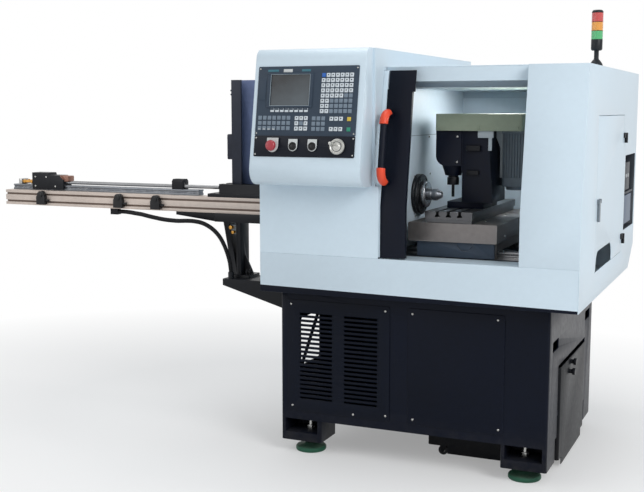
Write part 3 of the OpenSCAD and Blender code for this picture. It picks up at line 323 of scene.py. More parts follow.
@dataclass(frozen=True)
class Finish:
    """A finish of this machine with its tone, gloss, relief, dust and worn edges."""

    name: str
    colour: Rgb
    rough: float = 0.4
    metallic: float = 0.0
    grain: Grain = Grain.PEEL
    relief: float = 0.12
    mottle: float = 0.05
    dust: float = 0.0
    dust_colour: Rgb = (176, 170, 160)
    wear: float = 0.0
    wear_colour: Rgb = (150, 150, 148)
    coat: float = 0.0
    low: float = 0.0
    gloss: float = 0.5

    def height(self, s: Shader) -> tuple[Sock, float]:
        """Relief of the grain.

        Args:
            s: Shader that gets the nodes.

        Returns:
            The height and its depth in metres.
        """
        if self.grain is Grain.CAST:
            return s.noise(s.coords(), 170.0, 4.0, 0.6), 0.0009
        if self.grain is Grain.RUBBER:
            return s.noise(s.coords(), 420.0, 2.0), 0.0005
        if self.grain is Grain.PLASTIC:
            return s.noise(s.coords(), 900.0, 1.0), 0.0003
        if self.grain is Grain.ALONG_X:
            return s.noise(s.coords(scale=(6, 700, 700)), 1.0, 3.0), 0.0004
        if self.grain is Grain.ALONG_Y:
            return s.noise(s.coords(scale=(700, 6, 700)), 1.0, 3.0), 0.0004
        if self.grain is Grain.TURNED:
            axis = at(*SPINDLE_AXIS)
            place = s.coords(move=(0, -axis.y, -axis.z))
            rings = s.add("ShaderNodeTexWave", {"wave_type": "RINGS", "rings_direction": "X"}, {
                "Vector": place, "Scale": 260.0, "Distortion": 0.6, "Detail": 1.0})
            return s.out(rings, 1), 0.0003
        return s.noise(s.coords(), 300.0, 1.0), 0.0004

    def material(self) -> bpy.types.Material:
        """Builds the material of this finish, once.

        Returns:
            The material.
        """
        if self.name in MADE:
            return MADE[self.name]
        s = Shader.named(self.name + "_finish")
        MADE[self.name] = s.owner
        broad = s.noise(s.coords(), 2.6, 3.0)
        fine = s.noise(s.coords(), 46.0, 3.0)
        tone = ((broad - 0.5) * 1.4 + (fine - 0.5) * 0.7 + 0.5).held()
        dark = linear(tuple(c * (1 - self.mottle) for c in self.colour))
        pale = linear(tuple(c * (1 + self.mottle) + 1.5 for c in self.colour))
        colour = s.mix(tone, dark, pale)
        rough = (fine - 0.5) * 0.16 + (broad - 0.5) * 0.1 + self.rough
        if self.dust > 0:
            up = s.part(s.out(s.add("ShaderNodeNewGeometry"), "Normal"), 2)
            film = s.noise(s.coords(), 11.0, 4.0, 0.65)
            dust = (((up - 0.55) * 2.4).held() * ((film - 0.3) * 2.2).held() * self.dust).held()
            colour = s.mix(dust, colour, linear(self.dust_colour))
            rough = rough + dust * 0.3
        if self.low > 0:
            foot = ((0.22 - s.part(s.coords(), 2)) * 6.0).held()
            splash = s.noise(s.coords(), 19.0, 4.0, 0.7)
            dirt = (foot * ((splash - 0.35) * 2.5).held() * self.low).held()
            colour = s.mix(dirt, colour, linear((112, 106, 98)))
            rough = rough + dirt * 0.25
        if self.wear > 0:
            edge = s.out(s.add("ShaderNodeAttribute", {"attribute_name": "edge"}), "Fac")
            chips = ((s.noise(s.coords(), 34.0, 4.0, 0.7) - 0.48) * 6.0).held()
            worn = (edge * chips * self.wear).held()
            colour = s.mix(worn, colour, linear(self.wear_colour))
        height, depth = self.height(s)
        return s.principled({
            "Base Color": colour,
            "Roughness": rough.held(),
            "Metallic": self.metallic,
            "Coat Weight": self.coat,
            "Coat Roughness": 0.15,
            "Specular IOR Level": self.gloss,
            "Normal": s.bump(height, self.relief, depth),
        })


@dataclass(frozen=True)
class ClearFinish(Finish):
    """Clear sheet with faint smears."""

    tint: Rgb = (226, 236, 236)

    def material(self) -> bpy.types.Material:
        """Builds the clear material, once.

        Returns:
            The material.
        """
        if self.name in MADE:
            return MADE[self.name]
        s = Shader.named(self.name + "_finish")
        MADE[self.name] = s.owner
        smear = s.noise(s.coords(scale=(3, 3, 1)), 9.0, 4.0, 0.6)
        return s.principled({
            "Base Color": s.mix(smear, linear(self.tint), linear(tuple(c * 0.97 for c in self.tint))),
            "Roughness": (smear * 0.12 + 0.02).held(),
            "Transmission Weight": 0.92,
            "IOR": 1.49,
        })


@dataclass(frozen=True)
class LampFinish(Finish):
    """Coloured lamp lenses stacked by height: green, amber and red from below."""

    first_seam: float = 1.7205
    second_seam: float = 1.7535

    def material(self) -> bpy.types.Material:
        """Builds the lens material, once.

        Returns:
            The material with three bands of colour and painted highlights along its ribs.
        """
        if self.name in MADE:
            return MADE[self.name]
        s = Shader.named(self.name + "_finish")
        MADE[self.name] = s.owner
        z = s.part(s.coords(), 2)
        lower = ((z - self.first_seam) * 4000.0).held()
        upper = ((z - self.second_seam) * 4000.0).held()
        colour = s.mix(lower, linear((44, 186, 112)), linear((238, 160, 30)))
        colour = s.mix(upper, colour, linear((206, 40, 46)))
        place = s.coords(move=tuple(-c for c in at(*TOWER_AXIS)))
        around = s.out(s.add("ShaderNodeTexGradient", {"gradient_type": "RADIAL"}, {0: place}), 1)
        ribs = (around * 40.0).math("PINGPONG", around * 40.0, 0.5) * 2.0
        # painted highlight: the crests of the lens ribs are painted paler and warmer than the lens colour
        painted_rib_highlight = s.mix(ribs * 0.16, colour, linear((250, 236, 220)))
        return s.principled({
            "Base Color": painted_rib_highlight,
            "Roughness": (ribs * 0.1 + 0.16).held(),
            "Transmission Weight": 0.25,
            "Emission Color": colour,
            "Emission Strength": 0.06,
            "Coat Weight": 0.4,
            "Normal": s.bump(ribs, 0.35, 0.001),
        })


@dataclass(frozen=True)
class ScreenFinish(Finish):
    """Dark display glass with a soft fall of light painted across its colour, a painted reflection."""

    def material(self) -> bpy.types.Material:
        """Builds the display material, once.

        Returns:
            The material.
        """
        if self.name in MADE:
            return MADE[self.name]
        s = Shader.named(self.name + "_finish")
        MADE[self.name] = s.owner
        corner = at(42, -210, 1243 + 196)
        local = s.coords(move=tuple(-c for c in corner))
        across = s.part(local, 0) / 0.165
        upward = s.part(local, 2) / 0.12
        # painted reflection: a pale sweep of light painted into the screen's colour, paler towards the lower
        # right and broken by faint haze
        sheen = (across * 0.45 - upward * 0.7 + 0.5).held()
        haze = s.noise(s.coords(), 24.0, 3.0)
        glow = (sheen * 0.75 + (haze - 0.5) * 0.3).held()
        return s.principled({
            "Base Color": s.mix(glow, linear((20, 25, 30)), linear((92, 104, 112))),
            "Roughness": (haze * 0.1 + 0.08).held(),
            "Coat Weight": 0.6,
        })


def plastic(name: str, colour: Rgb, rough: float, mottle: float = 0.04, relief: float = 0.06,
            gloss: float = 0.3, coat: float = 0.0) -> Finish:
    """Finish of a moulded plastic piece.

    Args:
        name: Name of the finish.
        colour: Its tone.
        rough: Its roughness.
        mottle: Share by which the tone varies.
        relief: Strength of the moulded grain.
        gloss: Level of its mirror light.
        coat: Weight of a clear coat.

    Returns:
        The finish.
    """
    return Finish(name, colour, rough, 0.0, Grain.PLASTIC, relief, mottle, coat=coat, gloss=gloss)


class Finishes:
    """Every finish of the machine by its use."""

    white = Finish("sheet_white", (204, 220, 231), 0.38, mottle=0.014, dust=0.05, wear=0.22,
                   wear_colour=(166, 178, 188), relief=0.05, coat=0.06, gloss=0.4)
    band = Finish("band_grey", (172, 188, 200), 0.42, mottle=0.02, relief=0.05)
    liner = Finish("liner_grey", (196, 210, 220), 0.42, mottle=0.025, relief=0.05, wear=0.15)
    base = Finish("base_black", (7, 13, 27), 0.36, mottle=0.12, dust=0.2, dust_colour=(66, 68, 72), wear=0.5,
                  wear_colour=(44, 54, 70), relief=0.14, low=0.15, gloss=0.12)
    louvre = Finish("louvre_navy", (7, 13, 26), 0.38, mottle=0.1, wear=0.6, wear_colour=(36, 45, 58),
                    low=0.12, gloss=0.12)
    green = Finish("pad_green", (34, 84, 64), 0.55, grain=Grain.RUBBER, mottle=0.1, dust=0.2, gloss=0.3)
    cast = Finish("cast_grey", (122, 130, 138), 0.55, grain=Grain.CAST, mottle=0.08, wear=0.5, dust=0.2)
    bed = Finish("bed_blue_grey", (54, 65, 79), 0.5, grain=Grain.CAST, mottle=0.08, wear=0.4, dust=0.2,
                 gloss=0.3)
    steel = Finish("ground_steel", (88, 89, 92), 0.36, 0.8, Grain.ALONG_Y, 0.3, 0.1, wear=0.6,
                   wear_colour=(190, 190, 190))
    steel_x = Finish("ground_steel_x", (146, 147, 149), 0.3, 0.85, Grain.ALONG_X, 0.25, 0.08, wear=0.6,
                     wear_colour=(205, 205, 202))
    saddle = Finish("saddle_steel", (120, 116, 115), 0.42, 0.6, Grain.ALONG_X, 0.3, 0.1, wear=0.7,
                    wear_colour=(186, 184, 180), dust=0.12)
    screw = Finish("screw_steel", (172, 172, 170), 0.26, 0.9, Grain.ALONG_X, 0.2, 0.08)
    turned = Finish("turned_steel", (176, 178, 181), 0.24, 0.92, Grain.TURNED, 0.35, 0.05, wear=0.4,
                    wear_colour=(225, 226, 228))
    black = Finish("black_steel", (18, 20, 25), 0.4, 0.15, Grain.CAST, 0.12, 0.12, wear=0.6,
                   wear_colour=(66, 68, 72), gloss=0.25)
    mill = Finish("mill_navy", (9, 15, 30), 0.44, 0.0, Grain.CAST, 0.1, 0.12, wear=0.6,
                  wear_colour=(52, 60, 76), gloss=0.18)
    black_turned = Finish("black_turned", (20, 22, 26), 0.32, 0.3, Grain.TURNED, 0.3, 0.1, wear=0.6,
                          wear_colour=(100, 100, 102), gloss=0.3)
    olive = Finish("olive_cover", (138, 148, 130), 0.46, mottle=0.05, dust=0.2, wear=0.4,
                   wear_colour=(172, 178, 160), gloss=0.3)
    bracket = Finish("bracket_grey", (168, 178, 184), 0.42, mottle=0.05, wear=0.3)
    motor = Finish("motor_grey", (112, 124, 134), 0.5, 0.2, Grain.CAST, 0.2, 0.1, wear=0.6,
                   wear_colour=(112, 120, 128), gloss=0.3)
    motor_dark = Finish("motor_dark", (52, 58, 66), 0.5, 0.1, Grain.CAST, 0.25, 0.1, wear=0.4, gloss=0.3)
    nose = Finish("nose_steel", (126, 130, 136), 0.3, 0.85, Grain.TURNED, 0.35, 0.06, wear=0.5,
                  wear_colour=(205, 206, 208))
    bearing = Finish("bearing_steel", (178, 178, 176), 0.24, 0.92, Grain.TURNED, 0.25, 0.06)
    belt = Finish("belt_rubber", (34, 34, 36), 0.72, grain=Grain.RUBBER, relief=0.35, mottle=0.1, gloss=0.2)
    slate = plastic("panel_slate", (54, 66, 80), 0.46, mottle=0.05, relief=0.1, gloss=0.2)
    plate = Finish("plate_black", (11, 17, 29), 0.42, grain=Grain.PLASTIC, mottle=0.08, relief=0.1, wear=0.3,
                   gloss=0.2)
    screen = ScreenFinish("screen_dark", (20, 25, 30))
    red = plastic("stop_red", (166, 46, 58), 0.34, mottle=0.05, gloss=0.5, coat=0.2)
    button = plastic("button_black", (20, 21, 24), 0.36, mottle=0.06, relief=0.12, gloss=0.25, coat=0.15)
    cream = Finish("dial_cream", (190, 190, 186), 0.3, 0.7, Grain.PLASTIC, 0.1, 0.05)
    glass = ClearFinish("window_glass", (226, 236, 236))
    grip = plastic("grip_black", (10, 15, 28), 0.46, mottle=0.1, relief=0.16, gloss=0.16)
    orange = plastic("cap_orange", (228, 78, 50), 0.42, relief=0.08, gloss=0.35)
    latch = Finish("latch_grey", (120, 130, 138), 0.4, 0.3, Grain.PLASTIC, 0.1, 0.06, wear=0.3)
    gear = Finish("gear_dark", (40, 46, 54), 0.46, grain=Grain.PLASTIC, mottle=0.08, wear=0.3, gloss=0.25)
    gear_plate = Finish("gear_plate", (88, 102, 122), 0.42, mottle=0.06, gloss=0.3)
    tower = plastic("tower_black", (24, 28, 33), 0.42, mottle=0.08, relief=0.12, gloss=0.25)
    lamps = LampFinish("lamp_amber", (238, 168, 40))
    tank = Finish("tank_black", (6, 9, 15), 0.4, mottle=0.12, dust=0.06, dust_colour=(60, 61, 62), wear=0.5,
                  wear_colour=(48, 52, 58), low=0.06, gloss=0.12)
    tyre = Finish("wheel_rubber", (34, 34, 36), 0.65, grain=Grain.RUBBER, relief=0.2, mottle=0.1, dust=0.2,
                  gloss=0.2)
    rail = Finish("rail_aluminium", (208, 194, 184), 0.46, 0.15, Grain.ALONG_X, 0.22, 0.06, wear=0.4,
                  wear_colour=(212, 206, 198), dust=0.12, gloss=0.3)
    groove = Finish("groove_shadow", (150, 132, 122), 0.6, 0.2, Grain.ALONG_X, 0.2, 0.1, gloss=0.2)
    rail_guide = Finish("guide_steel", (122, 126, 132), 0.36, 0.7, Grain.ALONG_X, 0.25, 0.1, wear=0.7,
                        wear_colour=(216, 218, 220))
    magazine = Finish("magazine_dark", (40, 44, 56), 0.42, mottle=0.12, wear=0.5, wear_colour=(78, 84, 98),
                      gloss=0.25)
    chute_plate = Finish("magazine_blue", (100, 113, 148), 0.4, 0.15, mottle=0.1, wear=0.5,
                         wear_colour=(124, 134, 160), gloss=0.3)
    brass = Finish("fitting_brass", (190, 140, 66), 0.28, 0.85, Grain.ALONG_X, 0.2, 0.1, wear=0.4,
                   wear_colour=(230, 194, 118))
    reddish = Finish("clamp_copper", (136, 100, 86), 0.38, 0.6, Grain.ALONG_X, 0.2, 0.1)
    hose = Finish("hose_black", (22, 23, 26), 0.52, grain=Grain.RUBBER, relief=0.2, mottle=0.1, gloss=0.25)
    key_white = plastic("key_white", (206, 214, 220), 0.42, mottle=0.03)
    key_grey = plastic("key_grey", (116, 130, 144), 0.44)
    key_blue = plastic("key_blue", (52, 100, 178), 0.4)
    key_yellow = plastic("key_yellow", (206, 180, 74), 0.4)
    key_green = plastic("key_green", (50, 138, 112), 0.4)
    mark = plastic("key_mark", (52, 58, 66), 0.5, mottle=0.06, relief=0.12, gloss=0.2)
    legend = plastic("legend_pale", (204, 208, 208), 0.44, mottle=0.03)
    trim = Finish("trim_grey", (142, 154, 162), 0.36, 0.3, Grain.PLASTIC, 0.06, 0.03, gloss=0.3)
    strip = plastic("strip_teal", (62, 112, 126), 0.44)
    seam = Finish("seam_dark", (120, 132, 142), 0.6, mottle=0.06, gloss=0.2)


class Form:
    """Geometry of one new piece, built in the machine's millimetres."""

    def __init__(self, place: Matrix | None = None) -> None:
        """Starts an empty form.

        Args:
            place: Local frame in which the next shapes are given.
        """
        self.bm = bmesh.new()
        self.place = place or Matrix.Identity(4)

    def _take(self, verts: Iterable[bmesh.types.BMVert]) -> None:
        """Moves new vertices from the local frame to the machine's."""
        bmesh.ops.transform(self.bm, matrix=self.place, verts=list(verts))

    def block(self, low: Triple, high: Triple, soft: float = 0.0, steps: int = 2) -> "Form":
        """Adds a block with softened edges.

        Args:
            low: Lowest corner.
            high: Highest corner.
            soft: Width of the edge round.
            steps: Segments of the round.

        Returns:
            This form.
        """
        made = bmesh.ops.create_cube(self.bm, size=1.0)["verts"]
        size = [high[i] - low[i] for i in range(3)]
        mid = [(high[i] + low[i]) / 2 for i in range(3)]
        place = Matrix.Translation(mid) @ Matrix.Diagonal((*size, 1.0))
        bmesh.ops.transform(self.bm, matrix=place, verts=made)
        if soft > 0:
            edges = list({e for v in made for e in v.link_edges})
            grown = bmesh.ops.bevel(self.bm, geom=edges, offset=soft, segments=steps, profile=0.5,
                                    affect="EDGES")
            made = list({v for f in grown["faces"] for v in f.verts} | {v for v in made if v.is_valid})
        self._take(made)
        return self

    def turned(self, profile: Sequence[tuple[float, float]], origin: Triple, axis: Triple = (0, 0, 1),
               steps: int = 28) -> "Form":
        """Adds a turned body.

        Args:
            profile: Radius and height pairs from one end to the other, or back to the first for an open ring.
            origin: Point that the heights start from.
            axis: Direction of the heights.
            steps: Sides of the body.

        Returns:
            This form.
        """
        turn = Vector((0, 0, 1)).rotation_difference(Vector(axis)).to_matrix().to_4x4()
        matrix = Matrix.Translation(origin) @ turn
        rings: list[list[bmesh.types.BMVert]] = []
        is_ring = profile[0] == profile[-1]
        for radius, height in profile[:-1] if is_ring else profile:
            if radius <= 1e-6:
                rings.append([self.bm.verts.new((0, 0, height))])
                continue
            rings.append([self.bm.verts.new((radius * math.cos(math.tau * i / steps),
                                             radius * math.sin(math.tau * i / steps), height))
                          for i in range(steps)])
        faces = []
        for a, b in zip(rings, rings[1:] + rings[:1] if is_ring else rings[1:]):
            for i in range(steps):
                j = (i + 1) % steps
                loop = [a[i % len(a)], a[j % len(a)], b[j % len(b)], b[i % len(b)]]
                corners = list(dict.fromkeys(loop))
                if len(corners) > 2:
                    faces.append(self.bm.faces.new(corners))
        for ring in () if is_ring else (rings[0], rings[-1]):
            if len(ring) > 2:
                faces.append(self.bm.faces.new(ring))
        bmesh.ops.recalc_face_normals(self.bm, faces=faces)
        made = [v for ring in rings for v in ring]
        bmesh.ops.transform(self.bm, matrix=matrix, verts=made)
        self._take(made)
        return self

    def tube(self, points: Sequence[Triple], radii: Sequence[float], sides: int = 12) -> "Form":
        """Adds a round body along a path.

        Args:
            points: Points of its middle line.
            radii: Radius at each point.
            sides: Sides of the section.

        Returns:
            This form.
        """
        path = [Vector(p) for p in points]
        rings = []
        side = None
        for i, p in enumerate(path):
            ahead = (path[min(i + 1, len(path) - 1)] - path[max(i - 1, 0)]).normalized()
            side = (side - ahead * side.dot(ahead)).normalized() if side else ahead.orthogonal().normalized()
            up = ahead.cross(side)
            rings.append([self.bm.verts.new(p + (side * math.cos(math.tau * k / sides)
                                                 + up * math.sin(math.tau * k / sides)) * radii[i])
                          for k in range(sides)])
        faces = [self.bm.faces.new((a[k], a[(k + 1) % sides], b[(k + 1) % sides], b[k]))
                 for a, b in zip(rings, rings[1:]) for k in range(sides)]
        faces += [self.bm.faces.new(rings[0]), self.bm.faces.new(rings[-1])]
        bmesh.ops.recalc_face_normals(self.bm, faces=faces)
        self._take([v for r in rings for v in r])
        return self

    def sheet(self, outline: Sequence[tuple[float, float]], depth: float, soft: float = 0.0) -> "Form":
        """Adds a flat plate from an outline in the local x and y, with its depth along local z.

        Args:
            outline: Corners in order.
            depth: Thickness.
            soft: Width of the edge round.

        Returns:
            This form.
        """
        low = [self.bm.verts.new((x, y, 0)) for x, y in outline]
        high = [self.bm.verts.new((x, y, depth)) for x, y in outline]
        n = len(low)
        faces = [self.bm.faces.new(low[::-1]), self.bm.faces.new(high)]
        faces += [self.bm.faces.new((low[i], low[(i + 1) % n], high[(i + 1) % n], high[i])) for i in range(n)]
        bmesh.ops.recalc_face_normals(self.bm, faces=faces)
        made = low + high
        if soft > 0:
            edges = [e for e in faces[1].edges]
            grown = bmesh.ops.bevel(self.bm, geom=edges, offset=soft, segments=2, profile=0.5, affect="EDGES")
            made = list({v for f in grown["faces"] for v in f.verts} | {v for v in made if v.is_valid})
        self._take(made)
        return self

    def pierced(self, outline: Sequence[tuple[float, float]], hole: Sequence[tuple[float, float]],
                depth: float) -> "Form":
        """Adds a flat plate with one hole in the local x and y, with its depth along local z.

        Args:
            outline: Corners in order.
            hole: As many corners of the hole, in the same order.
            depth: Thickness.

        Returns:
            This form.
        """
        loops = ((outline, 0), (outline, depth), (hole, depth), (hole, 0))
        rings = [[self.bm.verts.new((x, y, z)) for x, y in loop] for loop, z in loops]
        n = len(outline)
        faces = [self.bm.faces.new((a[i], a[(i + 1) % n], b[(i + 1) % n], b[i]))
                 for a, b in zip(rings, rings[1:] + rings[:1]) for i in range(n)]
        bmesh.ops.recalc_face_normals(self.bm, faces=faces)
        self._take([v for ring in rings for v in ring])
        return self

    def mesh(self, name: str) -> bpy.types.Mesh:
        """The form as a smooth-shaded mesh in the frame's metres.

        Args:
            name: Name of the mesh.

        Returns:
            The mesh.
        """
        bmesh.ops.transform(self.bm, matrix=to_frame(), verts=self.bm.verts[:])
        return self.raw_mesh(name)

    def raw_mesh(self, name: str) -> bpy.types.Mesh:
        """The form as a mesh in the units that it was built in.

        Args:
            name: Name of the mesh.

        Returns:
            The mesh.
        """
        mesh = bpy.data.meshes.new(name)
        self.bm.to_mesh(mesh)
        self.bm.free()
        mesh.shade_smooth()
        mesh.set_sharp_from_angle(angle=SHARP)
        return mesh


class Maker:
    """Puts pieces into the scene and on their bodies."""

    def __init__(self, frame: dict[str, Any]) -> None:
        """Keeps the loaded frame.
        """
        self.nodes = frame["nodes"]
        self.slots = {s["slot"] for s in frame["record"].get("materials", [])}

    def link(self, name: str, mesh: bpy.types.Mesh) -> bpy.types.Object:
        """Makes an object of a mesh and links it to the scene.

        Args:
            name: Name of the object.
            mesh: Its mesh.

        Returns:
            The object.
        """
        obj = bpy.data.objects.new(name, mesh)
        bpy.context.scene.collection.objects.link(obj)
        return obj

    def add(self, name: str, form: Form, finish: Finish, body: str, slot: str = "") -> bpy.types.Object:
        """Puts one new piece on a body.

        Args:
            name: Name of the piece.
            form: Its geometry.
            finish: Its finish.
            body: Body that it moves with.
            slot: Record slot of its finish; not used.

        Returns:
            The piece.
        """
        mesh = form.mesh(name)
        mesh.materials.append(finish.material())
        LOG.info("piece %s on %s", name, body)
        return self.mount(name, mesh, body)

    def mount(self, name: str, mesh: bpy.types.Mesh, body: str) -> bpy.types.Object:
        """Puts a finished mesh on a body.

        Args:
            name: Name of the piece.
            mesh: Its mesh, in place.
            body: Body that it moves with.

        Returns:
            The piece.
        """
        obj = self.link(name, mesh)
        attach(obj, body)
        return obj

    def paint(self, node: str, finish: Finish) -> None:
        """Gives a CAD node a finish as it stands.

        Args:
            node: Name of the CAD node.
            finish: Its finish.
        """
        obj = self.nodes[node]
        obj.data.materials.clear()
        obj.data.materials.append(finish.material())
        LOG.info("finish %s on node %s", finish.name, node)

    def soften(self, node: str, finish: Finish, width: float, zones: Sequence[Zone] = (),
               angle: float = 32.0, cut: bool = False) -> bpy.types.Object:
        """Stands a copy with softened edges in for a CAD node.

        Args:
            node: Name of the CAD node.
            finish: Finish of the whole piece.
            width: Width of the edge round in millimetres.
            zones: Boxes, in the machine's millimetres, whose faces get a finish of their own.
            angle: Least angle of an edge that is softened.
            cut: Whether faces are split along the paint line above the base.

        Returns:
            The piece.
        """
        source = self.nodes[node]
        bm = bmesh.new()
        bm.from_mesh(source.data)
        bmesh.ops.remove_doubles(bm, verts=bm.verts[:], dist=2e-5)
        bmesh.ops.dissolve_limit(bm, angle_limit=math.radians(0.6), verts=bm.verts[:], edges=bm.edges[:],
                                 delimit={"NORMAL"})
        mesh = bpy.data.meshes.new(node + "_soft")
        bm.to_mesh(mesh)
        bm.free()
        mesh.shade_smooth()
        rough = self.link(node + "_rough", mesh)
        plain = finish.material()
        mesh.materials.append(plain)
        mesh.materials.append(plain)
        bevel = rough.modifiers.new("edge", "BEVEL")
        bevel.width = width * MM
        bevel.segments = 2
        bevel.limit_method = "ANGLE"
        bevel.angle_limit = math.radians(angle)
        bevel.use_clamp_overlap = True
        bevel.harden_normals = True
        bevel.material = 1
        done = bpy.data.meshes.new_from_object(rough.evaluated_get(bpy.context.evaluated_depsgraph_get()))
        bpy.data.objects.remove(rough)
        bpy.data.meshes.remove(mesh)
        if cut:
            self.split(done)
        edge = done.attributes.new("edge", "FLOAT", "FACE")
        for face in done.polygons:
            edge.data[face.index].value = 1.0 if face.material_index == 1 else 0.0
            face.material_index = 0
        done.materials.clear()
        done.materials.append(plain)
        self.zone(done, zones)
        obj = self.link(node + "_piece", done)
        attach(obj, source["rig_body"])
        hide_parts(node)
        LOG.info("piece %s stands for node %s", obj.name, node)
        return obj

    def split(self, mesh: bpy.types.Mesh) -> None:
        """Splits a mesh's faces along the paint line above the base.

        Args:
            mesh: Mesh of the piece.
        """
        bm = bmesh.new()
        bm.from_mesh(mesh)
        bmesh.ops.bisect_plane(bm, geom=bm.verts[:] + bm.edges[:] + bm.faces[:], plane_co=at(*PAINT_LINE),
                               plane_no=(PAINT_FALL, 0, 1), dist=1e-6)
        bm.to_mesh(mesh)
        bm.free()

    def zone_below(self, mesh: bpy.types.Mesh, finish: Finish) -> None:
        """Gives the faces below the paint line a finish of their own.

        Args:
            mesh: Mesh of the piece, split along the line.
            finish: Finish of the faces below it.
        """
        mesh.materials.append(finish.material())
        line = at(*PAINT_LINE)
        for face in mesh.polygons:
            if (face.center - line).dot(Vector((PAINT_FALL, 0, 1))) < 0:
                face.material_index = len(mesh.materials) - 1

    def zone(self, mesh: bpy.types.Mesh, zones: Sequence[Zone]) -> None:
        """Gives the faces inside boxes a finish of their own.

        Args:
            mesh: Mesh of the piece.
            zones: Lowest corner, highest corner and finish of each box.
        """
        for low, high, finish in zones:
            material = finish.material()
            if material.name not in mesh.materials:
                mesh.materials.append(material)
            index = list(mesh.materials).index(material)
            a, b = at(*low), at(*high)
            for face in mesh.polygons:
                c = face.center
                if all(a[i] - 1e-5 <= c[i] <= b[i] + 1e-5 for i in range(3)):
                    face.material_index = index


class NodeTree:
    """Shared steps of the Geometry Nodes trees."""

    def __init__(self, name: str) -> None:
        """Starts a tree with geometry in and out.

        Args:
            name: Name of the tree.
        """
        self.group = bpy.data.node_groups.new(name, "GeometryNodeTree")
        self.ids: dict[str, str] = {}
        self.group.interface.new_socket("Geometry", in_out="OUTPUT", socket_type="NodeSocketGeometry")
        self.group.interface.new_socket("Geometry", in_out="INPUT", socket_type="NodeSocketGeometry")
        self.source = self.group.nodes.new("NodeGroupInput")
        self.sink = self.group.nodes.new("NodeGroupOutput")

    def input(self, name: str, kind: str) -> bpy.types.NodeSocket:
        """Adds a named input.

        Args:
            name: Name of the input.
            kind: Blender's type of the socket.

        Returns:
            The socket inside the tree.
        """
        item = self.group.interface.new_socket(name, in_out="INPUT", socket_type=kind)
        self.ids[name] = item.identifier
        return self.source.outputs[name]

    def add(self, kind: str, settings: dict[str, Any] | None = None,
            sockets: dict[Any, Any] | None = None) -> bpy.types.Node:
        """Adds a node.

        Args:
            kind: Blender's type of the node.
            settings: Properties set first.
            sockets: Values or links of its inputs, by name or number.

        Returns:
            The new node.
        """
        node = self.group.nodes.new(kind)
        for key, value in (settings or {}).items():
            setattr(node, key, value)
        for key, value in (sockets or {}).items():
            if isinstance(value, bpy.types.NodeSocket):
                self.group.links.new(value, node.inputs[key])
            else:
                node.inputs[key].default_value = value
        return node

    def close(self, instances: bpy.types.NodeSocket, finish: bpy.types.NodeSocket) -> None:
        """Ends the tree in plain geometry with its material.

        Args:
            instances: Instances to make real.
            finish: Material input.
        """
        real = self.add("GeometryNodeRealizeInstances", None, {0: instances})
        painted = self.add("GeometryNodeSetMaterial", None, {"Geometry": real.outputs[0], "Material": finish})
        self.group.links.new(painted.outputs[0], self.sink.inputs[0])

    def run(self, maker: Maker, name: str, carrier: bpy.types.Mesh, values: dict[str, Any]) -> bpy.types.Mesh:
        """Evaluates the tree on a carrier mesh.

        Args:
            maker: Maker that links the carrier.
            name: Name of the result.
            carrier: Mesh that carries the modifier.
            values: Values of the named inputs.

        Returns:
            The plain mesh.
        """
        obj = maker.link(name + "_carrier", carrier)
        modifier = obj.modifiers.new("repeat", "NODES")
        modifier.node_group = self.group
        for key, value in values.items():
            modifier[self.ids[key]] = value
        done = bpy.data.meshes.new_from_object(obj.evaluated_get(bpy.context.evaluated_depsgraph_get()))
        done.name = name
        bpy.data.objects.remove(obj)
        return done


class SpotTree(NodeTree):
    """Sets one shape on each vertex of a carrier, turned by the carrier's own attribute."""

    def __init__(self) -> None:
        """Builds the tree."""
        super().__init__("shape_on_spots")
        shape = self.input("Shape", "NodeSocketObject")
        size = self.input("Size", "NodeSocketFloat")
        finish = self.input("Finish", "NodeSocketMaterial")
        info = self.add("GeometryNodeObjectInfo", {"transform_space": "ORIGINAL"}, {"Object": shape})
        turn = self.add("GeometryNodeInputNamedAttribute", {"data_type": "FLOAT_VECTOR"}, {"Name": "turn"})
        spin = self.add("FunctionNodeEulerToRotation", None, {0: turn.outputs[0]})
        spread = self.add("GeometryNodeInstanceOnPoints", None, {
            "Points": self.source.outputs["Geometry"], "Instance": info.outputs["Geometry"],
            "Rotation": spin.outputs[0], "Scale": size})
        self.close(spread.outputs[0], finish)

    def spread(self, maker: Maker, name: str, form: Form, spots: Sequence[Spot], finish: Finish, body: str,
               slot: str = "", size: float = 1.0) -> bpy.types.Object:
        """Repeats a form at spots and puts the result on a body.

        Args:
            maker: Maker of pieces.
            name: Name of the piece.
            form: Shape built about its own origin in millimetres, facing along z.
            spots: Place in the machine's millimetres and turn in radians.
            finish: Finish of the piece.
            body: Body that it moves with.
            slot: Record slot of the finish; not used.
            size: Scale of the shape.

        Returns:
            The piece.
        """
        shape_mesh = form.raw_mesh(name + "_shape")
        shape_mesh.transform(Matrix.Scale(MM, 4))
        shape = maker.link(name + "_shape", shape_mesh)
        carrier = bpy.data.meshes.new(name + "_spots")
        carrier.from_pydata([at(*p) for p, _ in spots], [], [])
        turns = carrier.attributes.new("turn", "FLOAT_VECTOR", "POINT")
        for i, (_, turn) in enumerate(spots):
            turns.data[i].vector = turn
        mesh = self.run(maker, name, carrier, {"Shape": shape, "Size": size, "Finish": finish.material()})
        bpy.data.objects.remove(shape)
        mesh.set_sharp_from_angle(angle=SHARP)
        LOG.info("repeat %s, %d times on %s", name, len(spots), body)
        return maker.mount(name, mesh, body)


